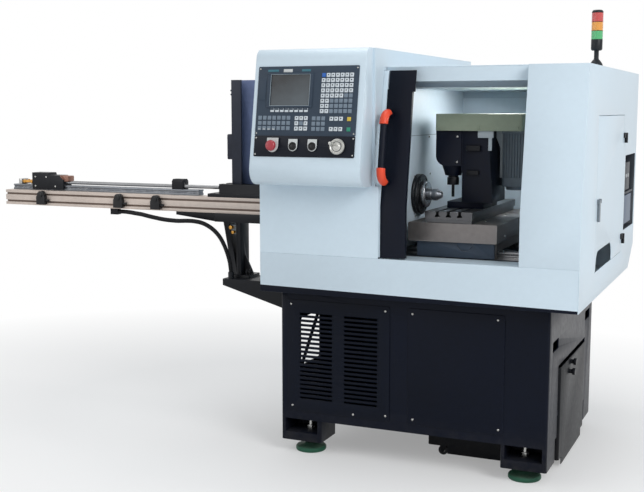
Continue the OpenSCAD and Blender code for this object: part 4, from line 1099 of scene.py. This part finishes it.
class GridTree(NodeTree):
    """Sets one shape on a grid with named counts and pitches."""

    def __init__(self) -> None:
        """Builds the tree."""
        super().__init__("shape_on_grid")
        shape = self.input("Shape", "NodeSocketObject")
        columns = self.input("Columns", "NodeSocketInt")
        rows = self.input("Rows", "NodeSocketInt")
        step_x = self.input("Pitch across", "NodeSocketFloat")
        step_y = self.input("Pitch up", "NodeSocketFloat")
        finish = self.input("Finish", "NodeSocketMaterial")
        info = self.add("GeometryNodeObjectInfo", {"transform_space": "ORIGINAL"}, {"Object": shape})
        along = self.add("ShaderNodeCombineXYZ", None, {"X": step_x})
        above = self.add("ShaderNodeCombineXYZ", None, {"Y": step_y})
        row = self.add("GeometryNodeMeshLine", None, {"Count": columns, "Offset": along.outputs[0]})
        column = self.add("GeometryNodeMeshLine", None, {"Count": rows, "Offset": above.outputs[0]})
        lines = self.add("GeometryNodeInstanceOnPoints", None, {
            "Points": row.outputs[0], "Instance": column.outputs[0]})
        points = self.add("GeometryNodeRealizeInstances", None, {0: lines.outputs[0]})
        spread = self.add("GeometryNodeInstanceOnPoints", None, {
            "Points": points.outputs[0], "Instance": info.outputs["Geometry"]})
        self.close(spread.outputs[0], finish)

    def fill(self, maker: Maker, name: str, form: Form, place: Matrix, counts: tuple[int, int],
             pitch: tuple[float, float], finish: Finish, body: str, slot: str = "") -> bpy.types.Object:
        """Repeats a form on a grid in a local frame and puts the result on a body.

        Args:
            maker: Maker of pieces.
            name: Name of the piece.
            form: Shape about its own origin in millimetres, facing along z.
            place: Frame of the grid's first spot, in the machine's millimetres.
            counts: Columns and rows.
            pitch: Steps across and up in millimetres.
            finish: Finish of the piece.
            body: Body that it moves with.
            slot: Record slot of the finish; not used.

        Returns:
            The piece.
        """
        shape = maker.link(name + "_shape", form.raw_mesh(name + "_shape"))
        carrier = bpy.data.meshes.new(name + "_grid")
        mesh = self.run(maker, name, carrier, {
            "Shape": shape, "Columns": counts[0], "Rows": counts[1], "Pitch across": float(pitch[0]),
            "Pitch up": float(pitch[1]), "Finish": finish.material()})
        bpy.data.objects.remove(shape)
        mesh.transform(to_frame() @ place)
        mesh.set_sharp_from_angle(angle=SHARP)
        LOG.info("grid %s of %d on %s", name, counts[0] * counts[1], body)
        return maker.mount(name, mesh, body)


FACE_FRONT: Triple = (math.pi / 2, 0.0, 0.0)
FACE_RIGHT: Triple = (math.pi / 2, 0.0, math.pi / 2)
FACE_BACK: Triple = (math.pi / 2, 0.0, math.pi)
FACE_UP: Triple = (0.0, 0.0, 0.0)


@dataclass
class Tools:
    """What every sub-assembly builds with."""

    maker: Maker
    spots: SpotTree
    grid: GridTree

    def screws(self, name: str, head: Form, spots: Sequence[Spot], body: str = "machine") -> None:
        """Sets bright steel screws at spots of a body.

        Args:
            name: Name of the piece.
            head: One screw's head about its seat.
            spots: Places and turns of the heads.
            body: Body that they move with.
        """
        self.spots.spread(self.maker, name, head, spots, Finishes.screw, body, "screw_steel")


def cap_screw(radius: float, height: float) -> Form:
    """Button-head screw with a sunk socket, about its seat.

    Args:
        radius: Radius of the head.
        height: Height of the head.

    Returns:
        The form.
    """
    crown = [(radius, -0.4), (radius, height * 0.35), (radius * 0.82, height * 0.82), (radius * 0.55, height)]
    socket = [(radius * 0.42, height), (radius * 0.36, height * 0.45), (0.0, height * 0.45)]
    return Form().turned(crown + socket, (0, 0, 0), steps=12)


def hex_screw(across: float, height: float) -> Form:
    """Six-sided screw head with a washer, about its seat.

    Args:
        across: Size that the radii are shares of.
        height: Height of the head.

    Returns:
        The form.
    """
    washer = [(across * 0.8, -0.4), (across * 0.8, height * 0.2), (across * 0.62, height * 0.22)]
    head = [(across * 0.58, height * 0.2), (across * 0.58, height * 0.9), (across * 0.5, height),
            (0.0, height)]
    return Form().turned(washer, (0, 0, 0), steps=18).turned(head, (0, 0, 0), steps=6)


@dataclass
class Studio:
    """Camera, floor, world and lamps."""

    eye: Triple = (2.0559, -4.4565, 1.4223)
    pitch_deg: float = 82.7187
    yaw_deg: float = 23.5711
    lens_mm: float = 59.66
    floor_radius: float = 30000.0
    floor_sides: int = 48
    lamps: list[tuple[str, Triple, Triple, float, float]] = field(default_factory=lambda: [
        ("key", (5.0, -3.4, 4.0), (0.4, 0.0, 0.8), 3.2, 165.0),
        ("fill", (-4.4, -4.8, 3.2), (0.0, 0.0, 0.8), 3.6, 50.0),
        ("top", (0.2, 0.2, 5.2), (0.1, 0.1, 0.6), 3.4, 70.0),
        ("chamber", (0.93, -0.12, 1.5), (0.72, -0.2, 0.95), 0.4, 5.5),
        ("cabinet", (1.33, -0.1, 1.3), (1.33, -0.1, 0.7), 0.1, 1.0),
    ])

    def camera(self) -> None:
        """Makes the camera at the photograph's angle."""
        data = bpy.data.cameras.new("camera")
        data.sensor_fit = "HORIZONTAL"
        data.sensor_width = 36.0
        data.lens = self.lens_mm
        data.clip_end = 60.0
        obj = bpy.data.objects.new("camera", data)
        obj.location = self.eye
        obj.rotation_euler = (math.radians(self.pitch_deg), 0.0, math.radians(self.yaw_deg))
        bpy.context.scene.collection.objects.link(obj)
        bpy.context.scene.camera = obj

    def floor(self) -> None:
        """Lays a pale floor that fades to the white surround away from the machine."""
        form = Form()
        rim = [math.tau * i / self.floor_sides for i in range(self.floor_sides)]
        mid = form.bm.verts.new((0, 0, 0))
        ring = [form.bm.verts.new((self.floor_radius * math.cos(a), self.floor_radius * math.sin(a), 0))
                for a in rim]
        for here, after in zip(ring, ring[1:] + ring[:1]):
            form.bm.faces.new((mid, here, after))
        mesh = form.mesh("studio_floor")
        obj = bpy.data.objects.new("studio_floor", mesh)
        bpy.context.scene.collection.objects.link(obj)
        s = Shader.named("floor_pale")
        grain = s.noise(s.coords(), 1.4, 3.0)
        cast = s.add("ShaderNodeBsdfDiffuse", None, {
            "Color": s.mix(grain, linear((238, 239, 240)), linear((243, 243, 243)))})
        glow = s.add("ShaderNodeEmission", None, {"Color": (1, 1, 1, 1), "Strength": 1.0})
        reach = s.add("ShaderNodeVectorMath", {"operation": "LENGTH"}, {0: s.coords(scale=(0.8, 1.0, 1.0))})
        fade = ((s.out(reach, 1) - 1.0) / 1.6).held()
        s.close(s.add("ShaderNodeMixShader", None, {
            0: (fade * 0.7 + 0.3) * s.background_rays(), 1: s.out(cast), 2: s.out(glow)}))
        mesh.materials.append(s.owner)

    def light(self) -> None:
        """Makes the world and the soft lamps."""
        scene = bpy.context.scene
        scene.view_settings.view_transform = "Standard"
        scene.world = bpy.data.worlds.new("studio")
        s = Shader(scene.world, "ShaderNodeOutputWorld")
        soft = s.add("ShaderNodeBackground", None, {"Color": (0.95, 0.98, 1.0, 1), "Strength": 0.5})
        white = s.add("ShaderNodeBackground", None, {"Color": (1, 1, 1, 1), "Strength": 1.0})
        s.close(s.add("ShaderNodeMixShader", None, {0: s.background_rays(), 1: s.out(soft), 2: s.out(white)}))
        for name, place, aim, size, power in self.lamps:
            data = bpy.data.lights.new(name, "AREA")
            data.shape = "DISK"
            data.size = size
            data.energy = power
            obj = bpy.data.objects.new(name, data)
            obj.location = place
            obj.rotation_euler = (Vector(aim) - Vector(place)).to_track_quat("-Z", "Y").to_euler()
            obj.visible_camera = False
            scene.collection.objects.link(obj)


@dataclass
class CorrugatedHose:
    """Hose from the loader's beam down to its bracket."""

    radius: float = 10.0
    rib_pitch: float = 4.2
    rib_depth: float = 1.7
    sides: int = 14
    route: tuple[Triple, ...] = (
        (-945, 236, 954), (-905, 230, 954), (-868, 214, 954), (-830, 196, 953), (-790, 184, 951),
        (-750, 178, 945), (-710, 176, 939), (-672, 175, 934), (-632, 175, 931), (-592, 175, 930),
        (-553, 175, 932), (-515, 175, 932), (-474, 174, 927), (-438, 173, 914), (-406, 172, 894),
        (-378, 171, 866), (-357, 170, 832), (-341, 170, 794), (-330, 170, 755), (-325, 170, 716))

    def line(self) -> list[Vector]:
        """Smooth middle line through the route's points.

        Returns:
            Points about one quarter of a rib apart.
        """
        knots = [Vector(p) for p in self.route]
        out = [knots[0]]
        for i in range(len(knots) - 1):
            p0, p1, p2, p3 = knots[max(i - 1, 0)], knots[i], knots[i + 1], knots[min(i + 2, len(knots) - 1)]
            count = max(2, round((p2 - p1).length / (self.rib_pitch / 4)))
            for k in range(1, count + 1):
                t = k / count
                out.append(0.5 * ((2 * p1) + (p2 - p0) * t + (2 * p0 - 5 * p1 + 4 * p2 - p3) * t * t
                                  + (3 * p1 - p0 - 3 * p2 + p3) * t ** 3))
        return out

    def build(self, tools: Tools) -> None:
        """Args:
            tools: What it builds with.
        """
        line = self.line()
        run = 0.0
        radii = []
        for i, p in enumerate(line):
            run += (p - line[i - 1]).length if i else 0.0
            wave = 0.5 - 0.5 * math.cos(math.tau * run / self.rib_pitch)
            radii.append(self.radius - self.rib_depth * wave)
        form = Form().tube([tuple(p) for p in line], radii, self.sides)
        piece = tools.maker.add("hose_ribbed", form, Finishes.hose, "machine", "hose_black")
        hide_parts("hose")
        path = [tuple(at(*p)) for p in line[::4] + [line[-1]]]


@dataclass
class BaseFrame:
    """Black welded base with its panels, levelling feet and screws."""

    edge: float = 3.0
    panel_edge: float = 0.8
    screws: tuple[tuple[float, float, float], ...] = (
        (48, -3, 632), (459, -3, 631), (572, -3, 629), (913, -3, 631), (52, -3, 205),
        (323, -3, 195), (462, -3, 205), (576, -3, 204), (922, -3, 204))
    slot_first: float = 237.0
    slot_step: float = 18.5

    def build(self, tools: Tools) -> None:
        """Dresses the base and adds its screws and pressed slot rims.

        Args:
            tools: What it builds with.
        """
        m = tools.maker
        m.soften("base_frame", Finishes.base, self.edge)
        m.soften("louvre_panel", Finishes.louvre, self.panel_edge)
        m.soften("front_panel", Finishes.base, self.panel_edge)
        m.soften("levelling_feet", Finishes.screw, 1.2, [
            ((-300, -300, -1), (1500, 1500, 36), Finishes.green)])
        spots = [((x, y, z), FACE_FRONT) for x, y, z in self.screws]
        tools.screws("base_screws", cap_screw(4.8, 3.0), spots)
        rim = Form()
        bow = [i * math.pi / 6 - math.pi / 2 for i in range(7)]
        lip = [(72 + 4 * math.cos(a), 4 * math.sin(a)) for a in bow]
        lip += [(-x, -y) for x, y in lip]
        wide = [(x + math.copysign(1.6, x), y * 1.4) for x, y in lip]
        inner = [rim.bm.verts.new((x, y, 0.2)) for x, y in lip]
        crown = [rim.bm.verts.new(((a[0] + b[0]) / 2, (a[1] + b[1]) / 2, 1.0)) for a, b in zip(lip, wide)]
        outer = [rim.bm.verts.new((x, y, -0.2)) for x, y in wide]
        n = len(inner)
        for a, b in ((outer, crown), (crown, inner)):
            for i in range(n):
                rim.bm.faces.new((a[i], a[(i + 1) % n], b[(i + 1) % n], b[i]))
        panel = Matrix.Translation((158, -3, self.slot_first + 4)) @ Matrix.Rotation(math.pi / 2, 4, "X")
        tools.grid.fill(m, "louvre_rims", rim, panel, (2, 20), (196.0, self.slot_step), Finishes.louvre,
                        "machine", "base_black")


@dataclass
class Enclosure:
    """White sheet covers, header beam and chamber lining."""

    edge: float = 2.0

    def build(self, tools: Tools) -> None:
        """Dresses the sheet covers and adds screws and joint lines.

        Args:
            tools: What it builds with.
        """
        m = tools.maker
        for node in ("left_cover", "front_apron"):
            m.zone_below(m.soften(node, Finishes.white, self.edge, cut=True).data, Finishes.base)
        m.soften("right_cover", Finishes.white, self.edge, [
            ((1225.4, 930, 820), (1250, 1000, 1320), Finishes.black)])
        for node in ("rear_cover", "header_beam"):
            m.soften(node, Finishes.white, self.edge)
        m.soften("chamber_liner", Finishes.liner, 0.6)
        wall = [((500.0, y, z), FACE_RIGHT) for y, z in ((401, 1310), (215, 1153), (421, 1154), (228, 989),
                                                        (520, 1310), (640, 1154))]
        tools.screws("wall_screws", cap_screw(5.0, 2.6), wall)
        seam = Form().block((500, 130, 1317), (500.6, 898, 1319), 0.15)
        m.add("liner_seam", seam, Finishes.seam, "machine", "liner_grey")
        patch = Form().block((437.1, 15.2, 1573.5), (439.9, 44.8, 1584.8), 0.2)
        m.add("corner_patch", patch, Finishes.white, "machine", "sheet_white")
        lid = Form().block((497, 62, 1505.2), (1113, 903, 1507), 0.3)
        m.add("liner_lid", lid, Finishes.liner, "machine", "liner_grey")
        band = Form().block((503, 898.4, 1474), (1108, 900, 1502), 0.4)
        m.add("liner_band", band, Finishes.band, "machine", "liner_grey")
        back = [((x, 1340.0, z), FACE_BACK) for x in (20, 410, 820, 1160) for z in (820, 1160, 1500)]
        tools.screws("rear_screws", cap_screw(6.0, 3.0), back)


def panel_frame(x: float, s: float, n: float = 0.0) -> Matrix:
    """Frame on the leaning control panel: x right, y up along its face, z out of it.

    Args:
        x: Place across, from the panel's left edge.
        s: Place up its face.
        n: Height above its face.

    Returns:
        The frame in the machine's millimetres.
    """
    base = Matrix.Translation(PANEL_CORNER)
    turn = Matrix(((1, 0, 0), (0, math.sin(PANEL_TILT), -math.cos(PANEL_TILT)),
                   (0, math.cos(PANEL_TILT), math.sin(PANEL_TILT)))).to_4x4()
    return base @ turn @ Matrix.Translation((x, s, n))


def panel_spot(x: float, s: float, n: float = 0.0) -> Spot:
    """Place and turn of something that sits on the control panel.

    Args:
        x: Place across, from the panel's left edge.
        s: Place up its face.
        n: Height above its face.

    Returns:
        The place in the machine's millimetres and the turn in radians.
    """
    frame = panel_frame(x, s, n)
    turn = frame.to_euler()
    return tuple(frame.translation), (turn.x, turn.y, turn.z)


@dataclass
class ControlPanel:
    """Leaning panel with its screen, keys, buttons and dial."""

    key: float = 15.4
    key_rise: float = 2.6

    def keycap(self) -> Form:
        """Square key with rounded edges, about its centre."""
        h = self.key / 2
        return Form().block((-h, -h, -0.5), (h, h, self.key_rise), 1.1, 2)

    def build(self, tools: Tools) -> None:
        """Dresses the panel's nodes and adds keys, marks, plates and screws.

        Args:
            tools: What it builds with.
        """
        m = tools.maker
        m.soften("pendant_housing", Finishes.white, 1.6)
        m.soften("cnc_panel", Finishes.slate, 0.6)
        m.soften("button_panel", Finishes.plate, 0.6)
        m.paint("screen", Finishes.screen)
        m.soften("estop_button", Finishes.red, 2.2)
        m.soften("start_button", Finishes.button, 1.2)
        m.soften("stop_button", Finishes.button, 1.2)
        m.soften("handwheel", Finishes.cream, 1.2)
        self.keys(tools)
        self.plates(tools)

    def keys(self, tools: Tools) -> None:
        """Lays out the key blocks in their colours.

        Args:
            tools: What it builds with.
        """
        pad = [(277.5 + 19.05 * i, 176 + 19.6 * (7 - j), j, i) for j in range(8) for i in range(7)]
        white_in_row = (7, 7, 7, 7, 5, 2, 2, 2)
        white = [(x, s) for x, s, j, i in pad if i < white_in_row[j] and (i, j) != (0, 0)]
        grey = [(x, s) for x, s, j, i in pad if i >= white_in_row[j]]
        white += [(68.8 + 20.4 * i, 180) for i in range(8)]
        grey += [(19 + 20.2 * i, 110 + 20 * j) for i in range(7) for j in range(3)]
        cross = [(175 + 19.2 * i, 109 + 20 * j, i, j) for i in range(3) for j in range(3)]
        white += [(x, s) for x, s, i, j in cross if (i, j) != (1, 1)]
        grey += [(x, s) for x, s, i, j in cross if (i, j) == (1, 1)]
        grey += [(246.5 + 19.6 * i, 108 + 20 * j) for i in range(3) for j in range(3)]
        white += [(319.5 + 19.3 * i, s) for i in range(3) for s in (108, 147)]
        sets = (("keys_white", white, Finishes.key_white), ("keys_grey", grey, Finishes.key_grey),
                ("keys_blue", [(277.5, 176 + 19.6 * 7)], Finishes.key_blue),
                ("keys_yellow", [(391.3, 146)], Finishes.key_yellow),
                ("keys_green", [(391.3, 107)], Finishes.key_green))
        for name, places, finish in sets:
            spots = [panel_spot(x, s) for x, s in places]
            tools.spots.spread(tools.maker, name, self.keycap(), spots, finish, "machine", "panel_slate")
        mark = Form().block((-2.6, -2.2, -0.2), (2.6, 2.4, 0.25), 0.1, 1)
        marks = [panel_spot(x, s + 1.0, self.key_rise) for x, s in white if s != 180]
        tools.spots.spread(tools.maker, "key_marks", mark, marks, Finishes.mark, "machine", "panel_slate")
        half = Form().block((-6.9, 0.2, -0.2), (6.9, 6.9, 0.25), 0.1, 1)
        tops = [panel_spot(68.8 + 20.4 * i, 180, self.key_rise) for i in range(8)]
        tools.spots.spread(tools.maker, "soft_key_tops", half, tops, Finishes.slate, "machine", "panel_slate")
        pale = Form().block((-4.6, -1.4, -0.2), (4.6, 1.4, 0.25), 0.1, 1)
        lines = [panel_spot(19 + 20.2 * i, 106, self.key_rise) for i in range(4)]
        tools.spots.spread(tools.maker, "key_pale_marks", pale, lines, Finishes.legend, "machine",
                           "panel_slate")

    def plates(self, tools: Tools) -> None:
        """Adds the bezel, bare legend plates, button rings, dial ticks and corner screws.

        Args:
            tools: What it builds with.
        """
        m = tools.maker
        bezel = Form(panel_frame(0, 0))
        for low, high in (((43, 189, 2.6), (235, 197.5, 4.2)), ((43, 316.5, 2.6), (235, 325, 4.2)),
                          ((43, 197.5, 2.6), (57.5, 316.5, 4.2)), ((221.5, 197.5, 2.6), (235, 316.5, 4.2))):
            bezel.block(low, high, 0.5)
        m.add("screen_bezel", bezel, Finishes.slate, "machine", "panel_slate")
        trim = Form(panel_frame(0, 0))
        for low, high in (((55.8, 195.8, 2.0), (223.2, 197.5, 4.5)),
                          ((55.8, 316.5, 2.0), (223.2, 318, 4.5)),
                          ((55.8, 197.5, 2.0), (57.5, 316.5, 4.5)),
                          ((221.5, 197.5, 2.0), (223.2, 316.5, 4.5))):
            trim.block(low, high, 0.4)
        m.add("screen_trim", trim, Finishes.trim, "machine", "panel_slate")
        plates = Form(panel_frame(0, 0, 5.6))
        for x, wide, rise, hole in ((82, 24, 31.5, 12.0), (168, 19, 27.5, 15.6), (249, 19, 27.5, 15.6)):
            corner = math.atan2(rise, wide)
            turns = sorted([math.tau * i / 40 for i in range(40)] + [corner, math.pi - corner])
            rims = []
            for a in turns:
                up, side = math.sin(a), abs(math.cos(a))
                reach = wide if up <= 0 else min(wide / max(side, 1e-6), rise / up)
                rims.append((reach, math.cos(a), up))
            plates.pierced([(x + r * c, BUTTON_ROW + r * s) for r, c, s in rims],
                           [(x + hole * c, BUTTON_ROW + hole * s) for _, c, s in rims], 1.0)
        m.add("legend_plates", plates, Finishes.legend, "machine", "plate_black")
        strip = Form(panel_frame(0, 0)).block((107, 326, -0.2), (145, 338, 0.5), 0.2)
        m.add("bare_strip", strip, Finishes.legend, "machine", "panel_slate")
        teal = Form(panel_frame(0, 0)).block((40, 328, -0.2), (86, 337, 0.4), 0.1)
        teal.block((184, 328, -0.2), (221, 337, 0.4), 0.1)
        m.add("teal_strips", teal, Finishes.strip, "machine", "panel_slate")
        seats = [panel_spot(168, BUTTON_ROW, 6.4), panel_spot(249, BUTTON_ROW, 6.4)]
        ring = Form()
        ring.turned([(17.4, -0.3), (17.4, 1.4), (16.8, 2.0), (16.0, 2.0), (15.8, 0.4), (15.8, -0.3),
                     (17.4, -0.3)], (0, 0, 0), steps=36)
        tools.spots.spread(m, "button_rings", ring, seats, Finishes.turned, "machine", "plate_black")
        collar = Form()
        collar.turned([(11.4, -0.2), (15.9, -0.2), (15.9, 2.6), (15.0, 3.8), (12.4, 4.2), (11.4, 3.6),
                       (11.4, -0.2)], (0, 0, 0), steps=36)
        tools.spots.spread(m, "button_collars", collar, seats, Finishes.button, "machine", "button_black")
        groove = Form(panel_frame(354, BUTTON_ROW, 18.0))
        groove.turned([(19.4, -0.2), (19.4, 0.3), (17.6, 0.3), (17.6, -0.2), (19.4, -0.2)], (0, 0, 0),
                      steps=40)
        m.add("dial_groove", groove, Finishes.mark, "dial", "dial_cream")
        tick = Form().block((26.2, -0.3, -0.2), (28.8, 0.3, 0.2), 0.05, 1)
        ticks = []
        for i in range(50):
            frame = panel_frame(354, BUTTON_ROW, 18.0) @ Matrix.Rotation(math.tau * i / 50, 4, "Z")
            turn = frame.to_euler()
            ticks.append((tuple(frame.translation), (turn.x, turn.y, turn.z)))
        tools.spots.spread(m, "dial_ticks", tick, ticks, Finishes.mark, "dial", "dial_cream")
        corners = [panel_spot(x, s, 0.0) for x in (7, 413) for s in (9, 72, 90, 340)]
        tools.screws("panel_screws", cap_screw(3.4, 1.8), corners)


@dataclass
class SlidingDoor:
    """Front door with its post, window and bow handle."""

    edge: float = 1.5

    def build(self, tools: Tools) -> None:
        """Dresses the door.

        Args:
            tools: What it builds with.
        """
        m = tools.maker
        m.soften("door_panel", Finishes.white, self.edge)
        m.paint("door_window", Finishes.glass)
        m.soften("door_post", Finishes.grip, self.edge)
        m.soften("door_handle", Finishes.grip, 0.8)
        m.soften("handle_caps", Finishes.orange, 0.8)


@dataclass
class WorkZone:
    """Bed, slides, milling unit and spindle inside the chamber."""

    edge: float = 1.6

    def build(self, tools: Tools) -> None:
        """Dresses the moving parts of the chamber.

        Args:
            tools: What it builds with.
        """
        m = tools.maker
        m.soften("bed", Finishes.bed, self.edge, [((400, 148, 838), (1150, 212, 880), Finishes.steel_x),
                                                 ((400, 558, 838), (1150, 622, 880), Finishes.steel_x)])
        m.soften("saddle", Finishes.saddle, self.edge, [((560, 55, 845), (880, 80, 913), Finishes.bed)])
        m.soften("cross_slide", Finishes.steel, 1.0)
        m.soften("mill_column", Finishes.mill, self.edge)
        m.soften("mill_head", Finishes.mill, self.edge)
        m.soften("belt_cover", Finishes.olive, 2.4)
        m.soften("mill_motor", Finishes.motor, 0.6, [((700, 330, 1090), (830, 345, 1345), Finishes.bracket)])
        m.soften("mill_spindle", Finishes.black_turned, 0.5)
        m.soften("bearing_cap", Finishes.black_turned, 1.2)
        m.soften("spindle", Finishes.turned, 1.0)
        m.soften("collet_nose", Finishes.nose, 0.8)
        m.paint("z_screw", Finishes.screw)
        m.paint("x_screw", Finishes.screw)
        marks = [((811.0, 171.0, 985.0), FACE_UP), ((818.0, 449.0, 985.0), FACE_UP),
                 ((888.0, 171.0, 932.0), FACE_RIGHT)]
        tools.screws("saddle_screws", cap_screw(5.0, 3.0), marks, "carriage")
        head = [((680.0, 208.0, 1316.0), FACE_FRONT), ((680.0, 208.0, 1215.0), FACE_FRONT)]
        tools.screws("head_screws", cap_screw(5.0, 4.0), head, "table")
        plate = Form().block((764, 204, 1312), (826, 214.5, 1339), 1.0)
        plate.block((806, 207, 1262), (820, 214.5, 1312), 1.0)
        m.add("motor_plate", plate, Finishes.bracket, "table", "motor_grey")
        clamps = Form().block((718, 197, 1260), (776, 214.5, 1282), 3.0)
        clamps.block((722, 201, 1165), (770, 214.5, 1183), 3.0)
        m.add("column_clamps", clamps, Finishes.black, "table", "black_steel")
        studs = [((x, 194.0, 1352.0), FACE_FRONT) for x in (612, 771, 926)]
        tools.spots.spread(m, "cover_studs", hex_screw(8.0, 7.0), studs, Finishes.olive, "table",
                           "olive_cover")


@dataclass
class DriveTrain:
    """Headstock, bearings, motor and belt behind the left cover."""

    def build(self, tools: Tools) -> None:
        """Dresses the drive.

        Args:
            tools: What it builds with.
        """
        m = tools.maker
        m.soften("headstock", Finishes.cast, 2.0)
        m.paint("spindle_bearings", Finishes.bearing)
        m.soften("main_motor", Finishes.motor_dark, 1.0)
        m.paint("motor_pulley", Finishes.turned)
        m.paint("drive_belt", Finishes.belt)


@dataclass
class SideCabinet:
    """Cabinet door, latch and switch gear on the right side."""

    def build(self, tools: Tools) -> None:
        """Dresses the right side.

        Args:
            tools: What it builds with.
        """
        m = tools.maker
        m.soften("cabinet_door", Finishes.white, 0.8, [
            ((1225.4, 900, 780), (1250, 990, 1420), Finishes.black),
            ((1225.4, 250, 1060), (1240, 310, 1090), Finishes.latch)])
        m.soften("latch_lever", Finishes.latch, 1.2)
        m.soften("switch_gear", Finishes.gear, 0.8, [
            ((1170, 1045, 900), (1183, 1275, 1037), Finishes.gear_plate),
            ((1194.5, 1090, 1075), (1203, 1130, 1170), Finishes.legend)])
        face = Form().block((1190, 1030, 1060), (1218, 1190, 1185), 1.5)
        face.block((1176, 1000, 1042), (1219, 1310, 1052), 1.0)
        m.add("switch_face", face, Finishes.gear, "machine", "gear_dark")
        plate = Form().block((1176, 1050, 905), (1217, 1270, 1035), 1.2)
        m.add("switch_plate", plate, Finishes.gear_plate, "machine", "gear_dark")
        dots = [((1218.0, y, 1125.0), FACE_RIGHT) for y in (1080, 1140)]
        tools.spots.spread(m, "switch_dots", cap_screw(9.0, 2.0), dots, Finishes.legend, "machine",
                           "gear_dark")


@dataclass
class SignalTower:
    """Signal tower with three lenses."""

    def build(self, tools: Tools) -> None:
        """Dresses the tower.

        Args:
            tools: What it builds with.
        """
        tools.maker.soften("signal_tower", Finishes.tower, 0.8)
        tools.maker.paint("lamp_lenses", Finishes.lamps)


@dataclass
class CoolantTank:
    """Wheeled coolant tank in the base."""

    def build(self, tools: Tools) -> None:
        """Dresses the tank and its castors.

        Args:
            tools: What it builds with.
        """
        m = tools.maker
        m.soften("coolant_tank", Finishes.tank, 1.5, [((1117, 380, 340), (1150, 440, 425), Finishes.black)])
        for node in ("tank_wheel_a", "tank_wheel_b", "tank_wheel_c", "tank_wheel_d"):
            m.soften(node, Finishes.tyre, 0.8)
        for body, x in (("wheel_a", 636.0), ("wheel_b", 1056.0)):
            hub = [((x, 221.0, 20.5), FACE_FRONT)]
            tools.screws(body + "_hub", cap_screw(9.0, 1.6), hub, body)


@dataclass
class BarLoader:
    """Bar loader on the left with its beam, guides, pusher and magazine."""

    def build(self, tools: Tools) -> None:
        """Dresses the loader.

        Args:
            tools: What it builds with.
        """
        m = tools.maker
        m.soften("loader_bracket", Finishes.black, 1.6, [
            ((-361, 224, 877), (-322, 276, 919), Finishes.latch),
            ((-366, 206, 868), (-320, 224.5, 925), Finishes.brass)])
        m.soften("loader_rail", Finishes.rail, 0.8, [
            ((-1600, 200.6, 975), (-40, 212, 1035), Finishes.groove),
            ((-990, 220, 935), (-940, 252, 969.4), Finishes.black)])
        m.soften("guide_rail", Finishes.rail_guide, 0.8)
        m.soften("rod_guide", Finishes.black, 1.0)
        m.soften("feed_block", Finishes.black, 1.2)
        m.soften("magazine", Finishes.magazine, 1.0, [
            ((-346, 268, 1090), (-100, 284, 1560), Finishes.chute_plate),
            ((-270, 283, 1090), (-225, 300, 1290), Finishes.magazine)])
        m.soften("pusher", Finishes.black, 1.0, [
            ((-1500, 225, 1050), (-1430.5, 290, 1100), Finishes.brass),
            ((-1270, 200, 1084), (-1225, 300, 1113), Finishes.reddish),
            ((-1225, 230, 1060), (-420, 280, 1100), Finishes.steel_x)])
        m.soften("sensors", Finishes.button, 0.8)
        block = Form().block((-1516, 232, 1067), (-1497, 280, 1092), 1.5)
        m.add("pusher_manifold", block, Finishes.screw, "feeder", "screw_steel")
        places = ((-1412, 1104), (-1348, 1104), (-1296, 1060), (-1412, 1060))
        dots = [((x, 225.0, z), FACE_FRONT) for x, z in places]
        tools.screws("carriage_screws", cap_screw(4.6, 2.6), dots, "feeder")


def main() -> None:
    """Builds the machine's looks in order."""
    logging.basicConfig(level=logging.INFO, format="%(name)s: %(message)s")
    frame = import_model()
    studio = Studio()
    studio.camera()
    tools = Tools(Maker(frame), SpotTree(), GridTree())
    for assembly in (CorrugatedHose(), BaseFrame(), Enclosure(), ControlPanel(), SlidingDoor(), WorkZone(),
                     DriveTrain(), SideCabinet(), SignalTower(), CoolantTank(), BarLoader()):
        assembly.build(tools)
        LOG.info("built %s", type(assembly).__name__)
    studio.floor()
    studio.light()


if __name__ == "__main__":
    main()
